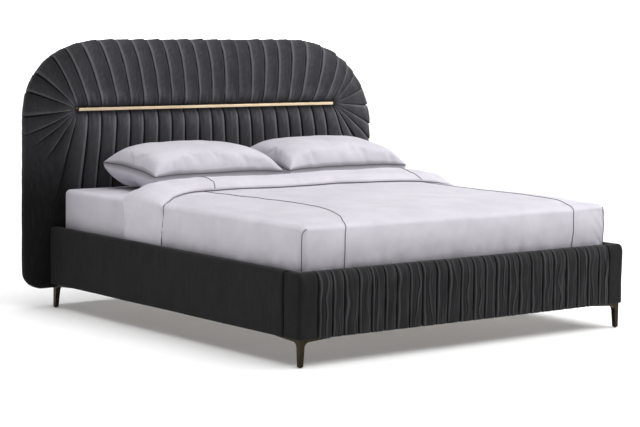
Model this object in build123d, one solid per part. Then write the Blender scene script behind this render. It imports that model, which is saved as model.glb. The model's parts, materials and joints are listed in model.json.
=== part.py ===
from build123d import *
import os

# Upholstered panel bed: a pleated velvet headboard with a brass trim strip, padded rails,
# a slatted base with a centre beam, four cast metal legs, a mattress, a duvet and two pillows.
# Millimetres. The origin lies on the floor under the middle of the bed.
# +Y points to the headboard, +Z up, and +X to the right of someone who faces the headboard.

# ---------------------------------------------------------------- driving dimensions
mattress_width = 1825
mattress_length = 1912
mattress_height = 250
mattress_corner = 30
mattress_sink = 65            # depth of the mattress below the top of the rails

duvet_side = 10               # thickness where the duvet hangs beside the mattress
duvet_top = 22                # thickness on top of the mattress
duvet_fold_gap = 560          # from the fold to the head end of the mattress
duvet_drop = 236              # how far the duvet hangs down beside the mattress
fold_width = 260              # band of duvet turned back at the head side
fold_height = 62
fold_inset = 20               # the folded band stops this far short of the duvet's sides

pillow_width = 800
pillow_depth = 480
pillow_thickness = 165
pillow_tilt = 9               # degrees, higher at the headboard
pillow_corner = 60
pillow_gap = 20               # between the two pillows
pillow_shift = 100            # the pair lies this far right of the middle
pillow_head_gap = 30          # from the pillow to the headboard cushion

rail_height = 281
rail_clearance = 119          # floor to the underside of the rails
side_foam = 20
side_board = 24
foot_foam = 22
foot_board = 36
lining = 3                    # cloth over the inner face and the underside of the rails
top_foam = 12
side_gap = 20                 # mattress to the side rail's lining, holds the duvet
foot_gap = 14                 # mattress to the foot rail's lining
head_gap = 8                  # mattress to the headboard cushion
rail_end_gap = 1              # rails' head end to the headboard cushion
corner_return = 54            # how far the foot rail's corners run back past its lining
foot_plain_end = 100          # plain stretch at each end of the pleated foot panel
rail_edge_radius = 10
foot_edge_radius = 18
corner_radius = 14

headboard_height = 1228
headboard_clearance = 88
headboard_overhang = 109      # beyond the side rails
headboard_top_radius = 505
headboard_bottom_radius = 100
cushion_depth = 48
cushion_rim = 15              # foam round the edge of the headboard's board
cushion_edge_radius = 34
headboard_board_depth = 12
headboard_frame_depth = 25
back_panel_depth = 2
back_panel_inset = 10
upright_width = 105
upright_cover = 30            # inner edge of an upright to the bolts that hold it
crossrail_height = 80
top_crossrail_height = 140    # deep enough to meet the uprights under the arch

trim_length = 1616
trim_height = 16
trim_depth = 8
trim_drop = 344               # headboard top to the middle of the trim strip
trim_recess = 12              # face of the strip behind the face of the cushion
trim_edge_radius = 3
groove_height = 44
groove_depth = 30
stud_diameter = 8
stud_count = 5

slat_count = 10
slat_width = 100
slat_thickness = 19
slat_end_gap = 3
slat_screw_inset = 14
ledge_width = 28
ledge_height = 40
ledge_end_gap = 5
head_end_board_depth = 24
head_end_setback = 13         # back face of the head end board to the rails' head end

beam_width = 40
beam_height = 70
hanger_wall = 3
hanger_length = 60
hanger_wing = 22
centre_leg_side = 45
centre_leg_gap = 30           # floor to the underside of a centre leg
levelling_pad_diameter = 40
levelling_pad_height = 8
shank_diameter = 9.4
shank_clearance = 0.6         # on the diameter
shank_length = 52
bore_spare = 4
levelling_travel = 12

leg_inset = 16                # leg behind the face of the upholstery
rear_leg_inset = 4            # rear leg ahead of the rails' head end
leg_top_width = 26
leg_foot_width = 19
leg_arm_length = 165
leg_arm_tip = 4
leg_arm_root = 13
leg_web_radius = 24
glide_diameter = 15
glide_height = 4

bracket_thickness = 3
bracket_ledge_gap = 21        # top of a bracket to the side ledge above it
bracket_short = 60
bracket_long = 126
bracket_clearance = 26        # underside of the rail to the bracket
z_bracket_thickness = 4
z_bracket_flange = 60
z_bracket_height = 140
z_bracket_in = 52             # side board's inner face to the bracket's web
pocket_clearance = 2

screw_diameter = 4
screw_head_diameter = 8
screw_head_height = 3
screw_bite = 26
bolt_diameter = 8
bolt_head_diameter = 14
bolt_head_height = 5
bolt_bite = 22
slack = 0.5                   # between soft pieces that lift apart

# ---------------------------------------------------------------- places worked out from them
rail_top = rail_clearance + rail_height
inner_half = mattress_width / 2 + side_gap
side_depth = lining + side_board + side_foam
outer_half = inner_half + side_depth
board_in = inner_half + lining
board_out = board_in + side_board

foot_depth = foot_foam + foot_board + lining
headboard_depth = cushion_depth + headboard_board_depth + headboard_frame_depth + back_panel_depth
base_length = foot_depth + foot_gap + mattress_length + head_gap
overall_length = base_length + headboard_depth

y_foot = -overall_length / 2
y_foot_board = y_foot + foot_foam
y_foot_lining = y_foot_board + foot_board
y_inside = y_foot + foot_depth
y_return = y_inside + corner_return
y_mattress = y_inside + foot_gap
y_cushion = y_foot + base_length
y_rail_end = y_cushion - rail_end_gap
y_board = y_cushion + cushion_depth
y_frame = y_board + headboard_board_depth
y_back_panel = y_frame + headboard_frame_depth
y_head_board_back = y_rail_end - head_end_setback
y_head_board = y_head_board_back - head_end_board_depth

z_board_low = rail_clearance + lining
z_board_high = rail_top - top_foam
z_mattress = rail_top - mattress_sink
z_mattress_top = z_mattress + mattress_height
z_slat = z_mattress - slat_thickness
z_ledge = z_slat - ledge_height
z_beam = z_slat - beam_height
z_bracket = rail_clearance + bracket_clearance
bracket_height = z_ledge - bracket_ledge_gap - z_bracket

x_web = board_in - z_bracket_in
x_headboard_bolt = x_web + 0.6 * z_bracket_flange

headboard_half = outer_half + headboard_overhang
headboard_top = headboard_clearance + headboard_height
z_trim = headboard_top - trim_drop
y_trim = y_cushion + trim_recess

LEFT, RIGHT = -1, 1
SIDES = (("left", LEFT), ("right", RIGHT))


# ---------------------------------------------------------------- helpers
def block(x0, x1, y0, y1, z0, z1):
    """A box between two corners, in any order along each axis."""
    size = (abs(x1 - x0), abs(y1 - y0), abs(z1 - z0))
    return Pos((x0 + x1) / 2, (y0 + y1) / 2, (z0 + z1) / 2) * Box(*size)


def rod(start, direction, diameter, length):
    """A round bar that runs from start along direction."""
    plane = Plane(origin=start, z_dir=direction)
    return extrude(plane * Circle(diameter / 2), length)


def on_side(part, side):
    """A part drawn for the right side, mirrored for the left."""
    return part if side == RIGHT else mirror(part, about=Plane.YZ)


def drilled(part, tools):
    """The part with the room that each fastener takes."""
    for tool in tools:
        part = part - tool
    return part


def fastener(start, direction, diameter, head_diameter, head_height, bite):
    """Head and shank; start is the face that the head bears on."""
    shank = rod(start, direction, diameter, bite)
    back = tuple(-c for c in direction)
    return shank + rod(start, back, head_diameter, head_height)


def bolt(start, direction):
    return fastener(start, direction, bolt_diameter, bolt_head_diameter, bolt_head_height, bolt_bite)


def screw(start, direction):
    return fastener(start, direction, screw_diameter, screw_head_diameter, screw_head_height, screw_bite)


# ---------------------------------------------------------------- headboard
def headboard_face(inset, y):
    """The headboard's arched outline at depth y, drawn in by inset; its normal is -Y."""
    width = 2 * (headboard_half - inset)
    height = headboard_height - 2 * inset
    face = Rectangle(width, height)
    high = face.vertices().group_by(Axis.Y)[-1]
    face = fillet(high, headboard_top_radius - inset)
    low = face.vertices().group_by(Axis.Y)[0]
    face = fillet(low, headboard_bottom_radius - inset)
    centre = (0, y, headboard_clearance + headboard_height / 2)
    return Plane(origin=centre, x_dir=(1, 0, 0), z_dir=(0, -1, 0)) * face


def headboard_plate(inset, y0, y1):
    return extrude(headboard_face(inset, y1), y1 - y0)


def trim_positions():
    spacing = (trim_length - 2 * trim_height) / (stud_count - 1)
    return [(i - (stud_count - 1) / 2) * spacing for i in range(stud_count)]


def make_studs():
    start = y_trim + trim_depth
    return [rod((x, start, z_trim), (0, 1, 0), stud_diameter, y_board - start) for x in trim_positions()]


def z_bracket_pocket():
    """Room in the cushion for the bracket that joins the base to the headboard."""
    return block(x_web - pocket_clearance - z_bracket_thickness, x_web + z_bracket_flange + pocket_clearance,
                 y_cushion, y_board, z_bracket - pocket_clearance,
                 z_bracket + z_bracket_height + pocket_clearance)


def make_headboard_cushion(studs):
    """Foam and velvet over the front and round the edge of the board, with a groove for the trim."""
    body = headboard_plate(0, y_cushion, y_back_panel)
    front = body.faces().sort_by(Axis.Y)[0]
    body = fillet(front.edges(), cushion_edge_radius)
    body -= headboard_plate(cushion_rim, y_board, y_back_panel)
    half = (trim_length + groove_height) / 2
    body -= block(-half, half, y_cushion, y_cushion + groove_depth,
                  z_trim - groove_height / 2, z_trim + groove_height / 2)
    for side in (LEFT, RIGHT):
        body -= on_side(z_bracket_pocket(), side)
    return drilled(body, studs)


def make_trim_strip():
    strip = block(-trim_length / 2, trim_length / 2, y_trim, y_trim + trim_depth,
                  z_trim - trim_height / 2, z_trim + trim_height / 2)
    front = strip.faces().sort_by(Axis.Y)[0]
    return fillet(front.edges(), trim_edge_radius)


def headboard_timber(x0, x1, z0, z1):
    """A batten behind the board, cut to the headboard's arch."""
    batten = block(x0, x1, y_frame, y_back_panel, z0, z1)
    return batten & headboard_plate(cushion_rim, y_frame, y_back_panel)


def make_headboard_frame():
    """Two uprights and three crossrails between them."""
    low = headboard_clearance + cushion_rim
    high = headboard_top - cushion_rim
    inner = x_headboard_bolt - upright_cover
    outer = inner + upright_width
    top_low = high - top_crossrail_height
    parts = {}
    for name, side in SIDES:
        parts["headboard_upright_" + name] = headboard_timber(side * inner, side * outer, low, top_low)
    parts["headboard_crossrail_top"] = headboard_timber(-outer, outer, top_low, high)
    parts["headboard_crossrail_middle"] = headboard_timber(
        -inner, inner, z_trim - crossrail_height / 2, z_trim + crossrail_height / 2)
    parts["headboard_crossrail_bottom"] = headboard_timber(-inner, inner, low, low + crossrail_height)
    return parts


# ---------------------------------------------------------------- rails
def rounded_rail(rail, radius, outer_axis, outer_is_max):
    """Round the long top edge on the outer side of a straight rail."""
    top = rail.faces().sort_by(Axis.Z)[-1]
    edge = top.edges().sort_by(outer_axis)[-1 if outer_is_max else 0]
    return fillet(edge, radius)


def make_side_cover():
    """Padded sleeve round the right side board, open at both ends."""
    sleeve = block(inner_half, outer_half, y_return, y_rail_end, rail_clearance, rail_top)
    sleeve = rounded_rail(sleeve, rail_edge_radius, Axis.X, True)
    return sleeve - make_side_board()


def make_side_board():
    return block(board_in, board_out, y_return, y_rail_end, z_board_low, z_board_high)


def make_side_ledge():
    return block(inner_half - ledge_width, inner_half, y_inside + ledge_end_gap,
                 y_head_board - ledge_end_gap, z_ledge, z_slat)


def make_foot_board():
    return block(-board_out, board_out, y_foot_board, y_foot_lining, z_board_low, z_board_high)


def make_corner_block():
    return block(board_in, board_out, y_foot_lining, y_return, z_board_low, z_board_high)


def make_foot_cover():
    """Pleated padded sleeve round the middle of the foot board."""
    half = outer_half - foot_plain_end
    sleeve = block(-half, half, y_foot, y_inside, rail_clearance, rail_top)
    sleeve = rounded_rail(sleeve, foot_edge_radius, Axis.Y, False)
    return sleeve - make_foot_board()


def make_corner_cover():
    """Plain padded corner: the end of the foot rail and its short return along the side."""
    across = block(outer_half - foot_plain_end, outer_half, y_foot, y_inside, rail_clearance, rail_top)
    along = block(inner_half, outer_half, y_foot, y_return, rail_clearance, rail_top)
    cover = across + along
    upright = cover.edges().filter_by(Axis.Z).group_by(Axis.Y)[0].sort_by(Axis.X)[-1]
    cover = fillet(upright, corner_radius)
    return cover - make_foot_board() - make_corner_block()


def make_head_end_board():
    return block(-inner_half, inner_half, y_head_board, y_head_board_back, z_board_low, z_slat)


# ---------------------------------------------------------------- brackets and bolts
def make_corner_bracket(y_face, direction):
    """Steel angle at the right side; direction is the way it runs along the side rail."""
    z0, z1 = z_bracket, z_bracket + bracket_height
    across = block(inner_half - bracket_short, inner_half, y_face, y_face + direction * bracket_thickness, z0, z1)
    along = block(inner_half - bracket_thickness, inner_half, y_face, y_face + direction * bracket_long, z0, z1)
    return across + along


def corner_bolts(y_face, direction):
    """Two bolts into the end board and two into the side rail."""
    bolts = []
    reach = y_face + direction * bracket_thickness
    for share in (0.25, 0.75):
        z = z_bracket + share * bracket_height
        bolts.append(bolt((inner_half - 0.65 * bracket_short, reach, z), (0, -direction, 0)))
        along = y_face + direction * 0.75 * bracket_long
        bolts.append(bolt((inner_half - bracket_thickness, along, z), (1, 0, 0)))
    return bolts


def make_z_bracket():
    """Z-section steel between the head end board and the headboard, right side."""
    t = z_bracket_thickness
    z0, z1 = z_bracket, z_bracket + z_bracket_height
    near = block(x_web - z_bracket_flange, x_web, y_head_board_back, y_head_board_back + t, z0, z1)
    plate = block(x_web - t, x_web, y_head_board_back, y_board, z0, z1)
    far = block(x_web - t, x_web + z_bracket_flange, y_board - t, y_board, z0, z1)
    return near + plate + far


def z_bracket_bolts():
    bolts = []
    for share in (0.2, 0.8):
        z = z_bracket + share * z_bracket_height
        near = (x_web - 0.6 * z_bracket_flange, y_head_board_back + z_bracket_thickness, z)
        bolts.append(bolt(near, (0, -1, 0)))
        bolts.append(bolt((x_headboard_bolt, y_board - z_bracket_thickness, z), (0, 1, 0)))
    return bolts


# ---------------------------------------------------------------- slatted base
def slat_rows():
    first = y_inside + 0.6 * slat_width
    last = y_head_board - 0.6 * slat_width
    return [first + i * (last - first) / (slat_count - 1) for i in range(slat_count)]


def make_slat(y):
    half = inner_half - slat_end_gap
    return block(-half, half, y - slat_width / 2, y + slat_width / 2, z_slat, z_mattress)


def make_slat_screws():
    """One countersunk screw at each end of each slat."""
    screws = []
    for y in slat_rows():
        for side in (LEFT, RIGHT):
            x = side * (inner_half - slat_screw_inset)
            screws.append(screw((x, y, z_mattress - screw_head_height), (0, 0, -1)))
    return screws


def make_centre_beam():
    return block(-beam_width / 2, beam_width / 2, y_inside + hanger_wall, y_head_board - hanger_wall,
                 z_beam, z_slat)


def make_beam_hanger(y_face, direction):
    """Steel shoe that holds one end of the centre beam."""
    half = beam_width / 2 + hanger_wall
    end = y_face + direction * hanger_length
    wing = half + hanger_wing
    plate = block(-wing, wing, y_face, y_face + direction * hanger_wall, z_beam - hanger_wall, z_slat)
    shoe = block(-half, half, y_face, end, z_beam - hanger_wall, z_slat)
    hollow = block(-beam_width / 2, beam_width / 2, y_face + direction * hanger_wall, end, z_beam, z_slat)
    return plate + (shoe - hollow)


def hanger_bolts(y_face, direction):
    half = beam_width / 2 + hanger_wall
    z = (z_beam + z_slat) / 2
    start = y_face + direction * hanger_wall
    return [bolt((side * (half + hanger_wing / 2), start, z), (0, -direction, 0)) for side in (LEFT, RIGHT)]


def centre_leg_rows():
    span = y_head_board - y_inside
    return (("foot", y_inside + span / 3), ("head", y_inside + 2 * span / 3))


def make_centre_leg(y):
    """Square timber post with a bore for the levelling foot."""
    half = centre_leg_side / 2
    post = block(-half, half, y - half, y + half, centre_leg_gap, z_beam)
    top_of_shank = levelling_pad_height + shank_length + levelling_travel
    depth = top_of_shank + bore_spare - centre_leg_gap
    return post - rod((0, y, centre_leg_gap), (0, 0, 1), shank_diameter + shank_clearance, depth)


def make_levelling_foot(y):
    pad = rod((0, y, 0), (0, 0, 1), levelling_pad_diameter, levelling_pad_height)
    return pad + rod((0, y, levelling_pad_height), (0, 0, 1), shank_diameter, shank_length)


# ---------------------------------------------------------------- legs
def arm_thickness(distance):
    """Thickness of a leg's arm at a distance from its outer corner."""
    share = (leg_arm_length - distance) / (leg_arm_length - leg_top_width)
    return leg_arm_tip + share * (leg_arm_root - leg_arm_tip)


def arm_profile():
    """Side view of one arm with the post under it, its outer corner on the Z axis."""
    root = rail_clearance - leg_arm_root
    points = [(0, glide_height), (leg_foot_width, glide_height), (leg_top_width, root),
              (leg_arm_length, rail_clearance - leg_arm_tip), (leg_arm_length, rail_clearance),
              (0, rail_clearance)]
    face = make_face(Polyline(*points, close=True))
    inner = [v for v in face.vertices() if abs(v.Y - root) < 0.01]
    return fillet(inner, leg_web_radius)


def taper_profile():
    """Side view of the tapered post alone, straight up to the arms."""
    root = rail_clearance - leg_arm_root
    points = [(0, glide_height), (leg_foot_width, glide_height), (leg_top_width, root),
              (leg_top_width, rail_clearance), (0, rail_clearance)]
    return make_face(Polyline(*points, close=True))


def make_leg_shape():
    """A leg with its outer corner at the origin; its arms run along +X and +Y."""
    reach = leg_arm_length + 1
    along_x = Plane.XZ * arm_profile()
    taper_y = Plane.YZ * taper_profile()
    arm_x = extrude(along_x, -leg_top_width) & extrude(taper_y, reach)
    along_y = Plane.YZ * arm_profile()
    taper_x = Plane.XZ * taper_profile()
    arm_y = extrude(along_y, leg_top_width) & extrude(taper_x, -reach)
    return arm_x + arm_y


def leg_places():
    """Name, outer corner and the way the arms run, in X and in Y."""
    x = outer_half - leg_inset
    front = y_foot + leg_inset
    rear = y_rail_end - rear_leg_inset
    return (("leg_foot_left", -x, front, 1, 1), ("leg_foot_right", x, front, -1, 1),
            ("leg_head_left", -x, rear, 1, -1), ("leg_head_right", x, rear, -1, -1))


def place_leg(shape, x, y, run_x, run_y):
    """Mirror a shape drawn for arms along +X and +Y and put it on its corner."""
    if run_x < 0:
        shape = mirror(shape, about=Plane.YZ)
    if run_y < 0:
        shape = mirror(shape, about=Plane.XZ)
    return Pos(x, y, 0) * shape


def leg_screws(run):
    """Two screws up through each arm, drawn like the leg itself."""
    screws = []
    for share in (0.4, 0.82):
        reach = share * run
        z = rail_clearance - arm_thickness(reach) + screw_head_height + slack
        middle = leg_top_width / 2
        screws.append(screw((reach, middle, z), (0, 0, 1)))
        screws.append(screw((middle, reach, z), (0, 0, 1)))
    return screws


def make_leg(shape, screws):
    """The leg with holes and counterbores for its screws."""
    for one in screws:
        centre = one.center()
        shape = shape - one
        shape -= rod((centre.X, centre.Y, one.bounding_box().min.Z), (0, 0, -1), screw_head_diameter, leg_arm_root)
    return shape


def make_glide():
    middle = leg_foot_width / 2
    return rod((middle, middle, 0), (0, 0, 1), glide_diameter, glide_height)


# ---------------------------------------------------------------- bedding
def make_mattress():
    body = block(-mattress_width / 2, mattress_width / 2, y_mattress, y_mattress + mattress_length,
                 z_mattress, z_mattress_top)
    return fillet(body.edges().filter_by(Axis.Z), mattress_corner)


def make_duvet():
    """Top, two sides and foot of the duvet, and the band turned back at its head side."""
    half = mattress_width / 2 + duvet_side
    y0, y1 = y_mattress - duvet_side, y_mattress + mattress_length - duvet_fold_gap
    top = z_mattress_top + slack + duvet_top
    body = block(-half, half, y0, y1, z_mattress_top + slack - duvet_drop, top)
    body = fillet(body.edges().filter_by(Axis.Z).group_by(Axis.Y)[0], mattress_corner + duvet_side)
    hollow = block(-mattress_width / 2 - slack, mattress_width / 2 + slack, y_mattress - slack, y1,
                   z_mattress_top - duvet_drop, z_mattress_top + slack)
    hollow = fillet(hollow.edges().filter_by(Axis.Z).group_by(Axis.Y)[0], mattress_corner + slack)
    band_half = half - fold_inset
    band = block(-band_half, band_half, y1 - fold_width, y1, top, top + fold_height)
    low_edge = band.edges().filter_by(Axis.X).group_by(Axis.Z)[-1]
    return (body - hollow) + fillet(low_edge, 0.4 * fold_height)


def make_pillow(side):
    """A soft-cornered pillow that leans back towards the headboard."""
    body = Box(pillow_width, pillow_depth, pillow_thickness)
    body = fillet(body.edges().filter_by(Axis.Z), pillow_corner)
    for height in (0, -1):
        edges = body.faces().sort_by(Axis.Z)[height].edges()
        body = fillet(edges, 0.4 * pillow_thickness)
    body = Rot(pillow_tilt, 0, 0) * body
    box = body.bounding_box()
    x = pillow_shift + side * (pillow_width + pillow_gap) / 2
    y = y_cushion - pillow_head_gap - box.max.Y
    return Pos(x, y, z_mattress_top + 2 * slack - box.min.Z) * body


# ---------------------------------------------------------------- the whole bed
def make_bed():
    parts = {}
    studs = make_studs()
    base_bolts = corner_bolts(y_inside, 1) + corner_bolts(y_head_board, -1)
    head_bolts = z_bracket_bolts()
    bolts = [on_side(one, side) for one in base_bolts for side in (LEFT, RIGHT)]
    bolts += hanger_bolts(y_inside, 1) + hanger_bolts(y_head_board, -1)
    joining = [on_side(one, side) for one in head_bolts for side in (LEFT, RIGHT)]
    slat_screws = make_slat_screws()

    screws_drawn = leg_screws(leg_arm_length)
    leg_shape = make_leg(make_leg_shape(), screws_drawn)
    screws, glides = [], []
    for name, x, y, run_x, run_y in leg_places():
        parts[name] = place_leg(leg_shape, x, y, run_x, run_y)
        screws += [place_leg(one, x, y, run_x, run_y) for one in screws_drawn]
        glides.append(place_leg(make_glide(), x, y, run_x, run_y))

    parts["headboard_board"] = drilled(headboard_plate(cushion_rim, y_board, y_frame), joining)
    for name, batten in make_headboard_frame().items():
        parts[name] = drilled(batten, joining)
    parts["headboard_cushion"] = drilled(make_headboard_cushion(studs), joining)
    parts["headboard_back_panel"] = headboard_plate(back_panel_inset, y_back_panel,
                                                    y_back_panel + back_panel_depth)
    parts["trim_strip"] = make_trim_strip()
    parts["trim_studs"] = Compound(children=studs)

    fixings = bolts + screws
    for name, side in SIDES:
        parts["side_rail_board_" + name] = drilled(on_side(make_side_board(), side), fixings)
        parts["side_rail_cover_" + name] = drilled(on_side(make_side_cover(), side), fixings)
        parts["side_ledge_" + name] = drilled(on_side(make_side_ledge(), side), slat_screws)
        parts["foot_corner_block_" + name] = drilled(on_side(make_corner_block(), side), fixings)
        parts["foot_corner_cover_" + name] = drilled(on_side(make_corner_cover(), side), fixings)
        foot_bracket = on_side(make_corner_bracket(y_inside, 1), side)
        head_bracket = on_side(make_corner_bracket(y_head_board, -1), side)
        parts["corner_bracket_foot_" + name] = drilled(foot_bracket, bolts)
        parts["corner_bracket_head_" + name] = drilled(head_bracket, bolts)
        parts["headboard_bracket_" + name] = drilled(on_side(make_z_bracket(), side), joining)
    parts["foot_rail_board"] = drilled(make_foot_board(), fixings)
    parts["foot_rail_cover"] = drilled(make_foot_cover(), fixings)
    parts["head_end_board"] = drilled(make_head_end_board(), fixings + joining)

    parts["centre_beam"] = make_centre_beam()
    parts["beam_hanger_foot"] = drilled(make_beam_hanger(y_inside, 1), bolts)
    parts["beam_hanger_head"] = drilled(make_beam_hanger(y_head_board, -1), bolts)
    for name, y in centre_leg_rows():
        parts["centre_leg_" + name] = make_centre_leg(y)
        parts["levelling_foot_" + name] = make_levelling_foot(y)
    for number, y in enumerate(slat_rows(), 1):
        parts["slat_%02d" % number] = drilled(make_slat(y), slat_screws)

    parts["frame_bolts"] = Compound(children=bolts + joining)
    parts["leg_screws"] = Compound(children=screws)
    parts["slat_screws"] = Compound(children=slat_screws)
    parts["leg_glides"] = Compound(children=glides)

    parts["mattress"] = make_mattress()
    parts["duvet"] = make_duvet()
    for name, side in SIDES:
        parts["pillow_" + name] = make_pillow(side)
    return parts


os.makedirs("parts", exist_ok=True)
for node, shape in make_bed().items():
    export_step(shape, "parts/" + node + ".step")
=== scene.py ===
"""Upholstered panel bed: the looks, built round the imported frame. Metres, +Z up, +Y to the headboard."""
import json
import math

import bmesh
import bpy
import numpy as np
from mathutils import Matrix, Vector
from mathutils.bvhtree import BVHTree


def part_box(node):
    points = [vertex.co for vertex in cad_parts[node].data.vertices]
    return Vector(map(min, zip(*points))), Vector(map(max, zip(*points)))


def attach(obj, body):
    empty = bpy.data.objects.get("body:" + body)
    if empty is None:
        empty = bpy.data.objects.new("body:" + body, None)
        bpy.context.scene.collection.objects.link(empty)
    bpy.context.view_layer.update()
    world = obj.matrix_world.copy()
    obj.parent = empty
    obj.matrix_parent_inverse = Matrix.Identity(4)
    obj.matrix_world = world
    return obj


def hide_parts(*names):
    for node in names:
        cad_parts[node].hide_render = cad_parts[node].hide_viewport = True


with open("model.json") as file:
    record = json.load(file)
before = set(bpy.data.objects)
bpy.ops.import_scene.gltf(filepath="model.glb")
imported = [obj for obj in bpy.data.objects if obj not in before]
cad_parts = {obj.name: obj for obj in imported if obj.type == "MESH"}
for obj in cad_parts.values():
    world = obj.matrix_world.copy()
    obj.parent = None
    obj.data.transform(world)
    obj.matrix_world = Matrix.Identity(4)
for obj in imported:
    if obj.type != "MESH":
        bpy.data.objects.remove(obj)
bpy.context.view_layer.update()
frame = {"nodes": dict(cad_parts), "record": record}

FRAME_BODY = "bed_frame"

# ------------------------------------------------------------------ places read from the frame
cushion_lo, cushion_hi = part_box("headboard_cushion")
trim_lo, trim_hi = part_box("trim_strip")
back_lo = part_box("headboard_back_panel")[0]
side_lo, side_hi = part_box("side_rail_cover_right")
foot_lo, foot_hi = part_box("foot_rail_cover")
corner_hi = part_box("foot_corner_cover_right")[1]
mattress_lo, mattress_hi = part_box("mattress")
duvet_lo, duvet_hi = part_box("duvet")


# ------------------------------------------------------------------ numbers and curves
def smooth(x, low, high):
    """0 below low, 1 above high, and a smooth step between."""
    t = np.clip((np.asarray(x, float) - low) / (high - low), 0.0, 1.0)
    return t * t * (3 - 2 * t)


def wave_noise(seed, count, low, high):
    """A smooth random function of (x, y) with wavelengths between low and high, about -1 to 1."""
    source = np.random.default_rng(seed)
    angle = source.uniform(0, 2 * math.pi, count)
    number = 2 * math.pi / np.exp(source.uniform(math.log(low), math.log(high), count))
    phase = source.uniform(0, 2 * math.pi, count)

    def value(x, y):
        x = np.asarray(x, float)
        y = np.asarray(y, float)
        total = 0
        for a, k, p in zip(angle, number, phase):
            total = total + np.sin(k * (x * math.cos(a) + y * math.sin(a)) + p)
        return total / math.sqrt(count)
    return value


def through(points, ease=0.02):
    """A curve through (x, y) pairs with its corners eased, flat beyond its ends."""
    xs = np.array([p[0] for p in points], float)
    ys = np.array([p[1] for p in points], float)
    span = xs[-1] - xs[0]
    dense = np.linspace(xs[0] - 0.1 * span, xs[-1] + 0.1 * span, 901)
    line = np.interp(dense, xs, ys)
    reach = np.arange(-60, 61) * (dense[1] - dense[0])
    kernel = np.exp(-(reach / (ease * span)) ** 2)
    eased = np.convolve(np.pad(line, 60, "edge"), kernel / kernel.sum(), "valid")
    return lambda x: np.interp(np.asarray(x, float), dense, eased)


# ------------------------------------------------------------------ mesh helpers
def mesh_piece(name, points, faces, material, tone=None, smooth_faces=True):
    """A mesh object; tone is a number per vertex that its material reads."""
    mesh = bpy.data.meshes.new(name)
    mesh.from_pydata(np.asarray(points, float).tolist(), [], [tuple(int(i) for i in f) for f in faces])
    mesh.polygons.foreach_set("use_smooth", [smooth_faces] * len(mesh.polygons))
    layer = mesh.attributes.new("tone", "FLOAT", "POINT")
    values = np.zeros(len(mesh.vertices)) if tone is None else np.asarray(tone, float).ravel()
    layer.data.foreach_set("value", values.astype(np.float32))
    mesh.materials.append(material)
    mesh.update()
    obj = bpy.data.objects.new(name, mesh)
    bpy.context.scene.collection.objects.link(obj)
    return obj


def grid_faces(rows, cols, wrap_rows=False, wrap_cols=False, offset=0):
    """Quads of a grid whose vertex (i, j) is number i * cols + j."""
    i = np.arange(rows if wrap_rows else rows - 1)
    j = np.arange(cols if wrap_cols else cols - 1)
    a, b = np.meshgrid(i, j, indexing="ij")
    c = (a + 1) % rows
    d = (b + 1) % cols
    quads = np.stack([a * cols + b, a * cols + d, c * cols + d, c * cols + b], -1)
    return (quads.reshape(-1, 4) + offset).tolist()


def grid_normals(p, wrap_rows=False, wrap_cols=False):
    """Unit normals of a grid of points, from its own differences."""
    def slope(axis, wrap):
        if wrap:
            return np.roll(p, -1, axis) - np.roll(p, 1, axis)
        return np.gradient(p, axis=axis)
    n = np.cross(slope(0, wrap_rows), slope(1, wrap_cols))
    return n / np.maximum(np.linalg.norm(n, axis=-1, keepdims=True), 1e-12)


def face_outward(obj):
    """Make a closed mesh's normals point out."""
    bm = bmesh.new()
    bm.from_mesh(obj.data)
    bmesh.ops.recalc_face_normals(bm, faces=bm.faces)
    bm.to_mesh(obj.data)
    bm.free()
    return obj


def apply_modifiers(obj):
    """Bake an object's modifiers into its mesh."""
    graph = bpy.context.evaluated_depsgraph_get()
    graph.update()
    baked = bpy.data.meshes.new_from_object(obj.evaluated_get(graph))
    obj.modifiers.clear()
    obj.data = baked
    return obj


def tube(name, points, radius, material, closed=False, sides=8):
    """A round cord through the points, as a mesh."""
    p = np.asarray(points, float)
    if closed:
        along = np.roll(p, -1, 0) - np.roll(p, 1, 0)
    else:
        along = np.gradient(p, axis=0)
    along /= np.linalg.norm(along, axis=1, keepdims=True)
    up = np.zeros_like(p)
    guide = np.array([0.0, 0.0, 1.0]) if abs(along[0][2]) < 0.9 else np.array([1.0, 0.0, 0.0])
    for i, t in enumerate(along):
        guide = guide - t * (guide @ t)
        guide /= np.linalg.norm(guide)
        up[i] = guide
    side = np.cross(along, up)
    angle = np.arange(sides) * 2 * math.pi / sides
    ring = (up[:, None] * np.cos(angle)[None, :, None] + side[:, None] * np.sin(angle)[None, :, None])
    grid = p[:, None] + radius * ring
    faces = grid_faces(len(p), sides, wrap_rows=closed, wrap_cols=True)
    if not closed:
        faces.append(list(range(sides))[::-1])
        faces.append([(len(p) - 1) * sides + k for k in range(sides)])
    return face_outward(mesh_piece(name, grid.reshape(-1, 3), faces, material))


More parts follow.
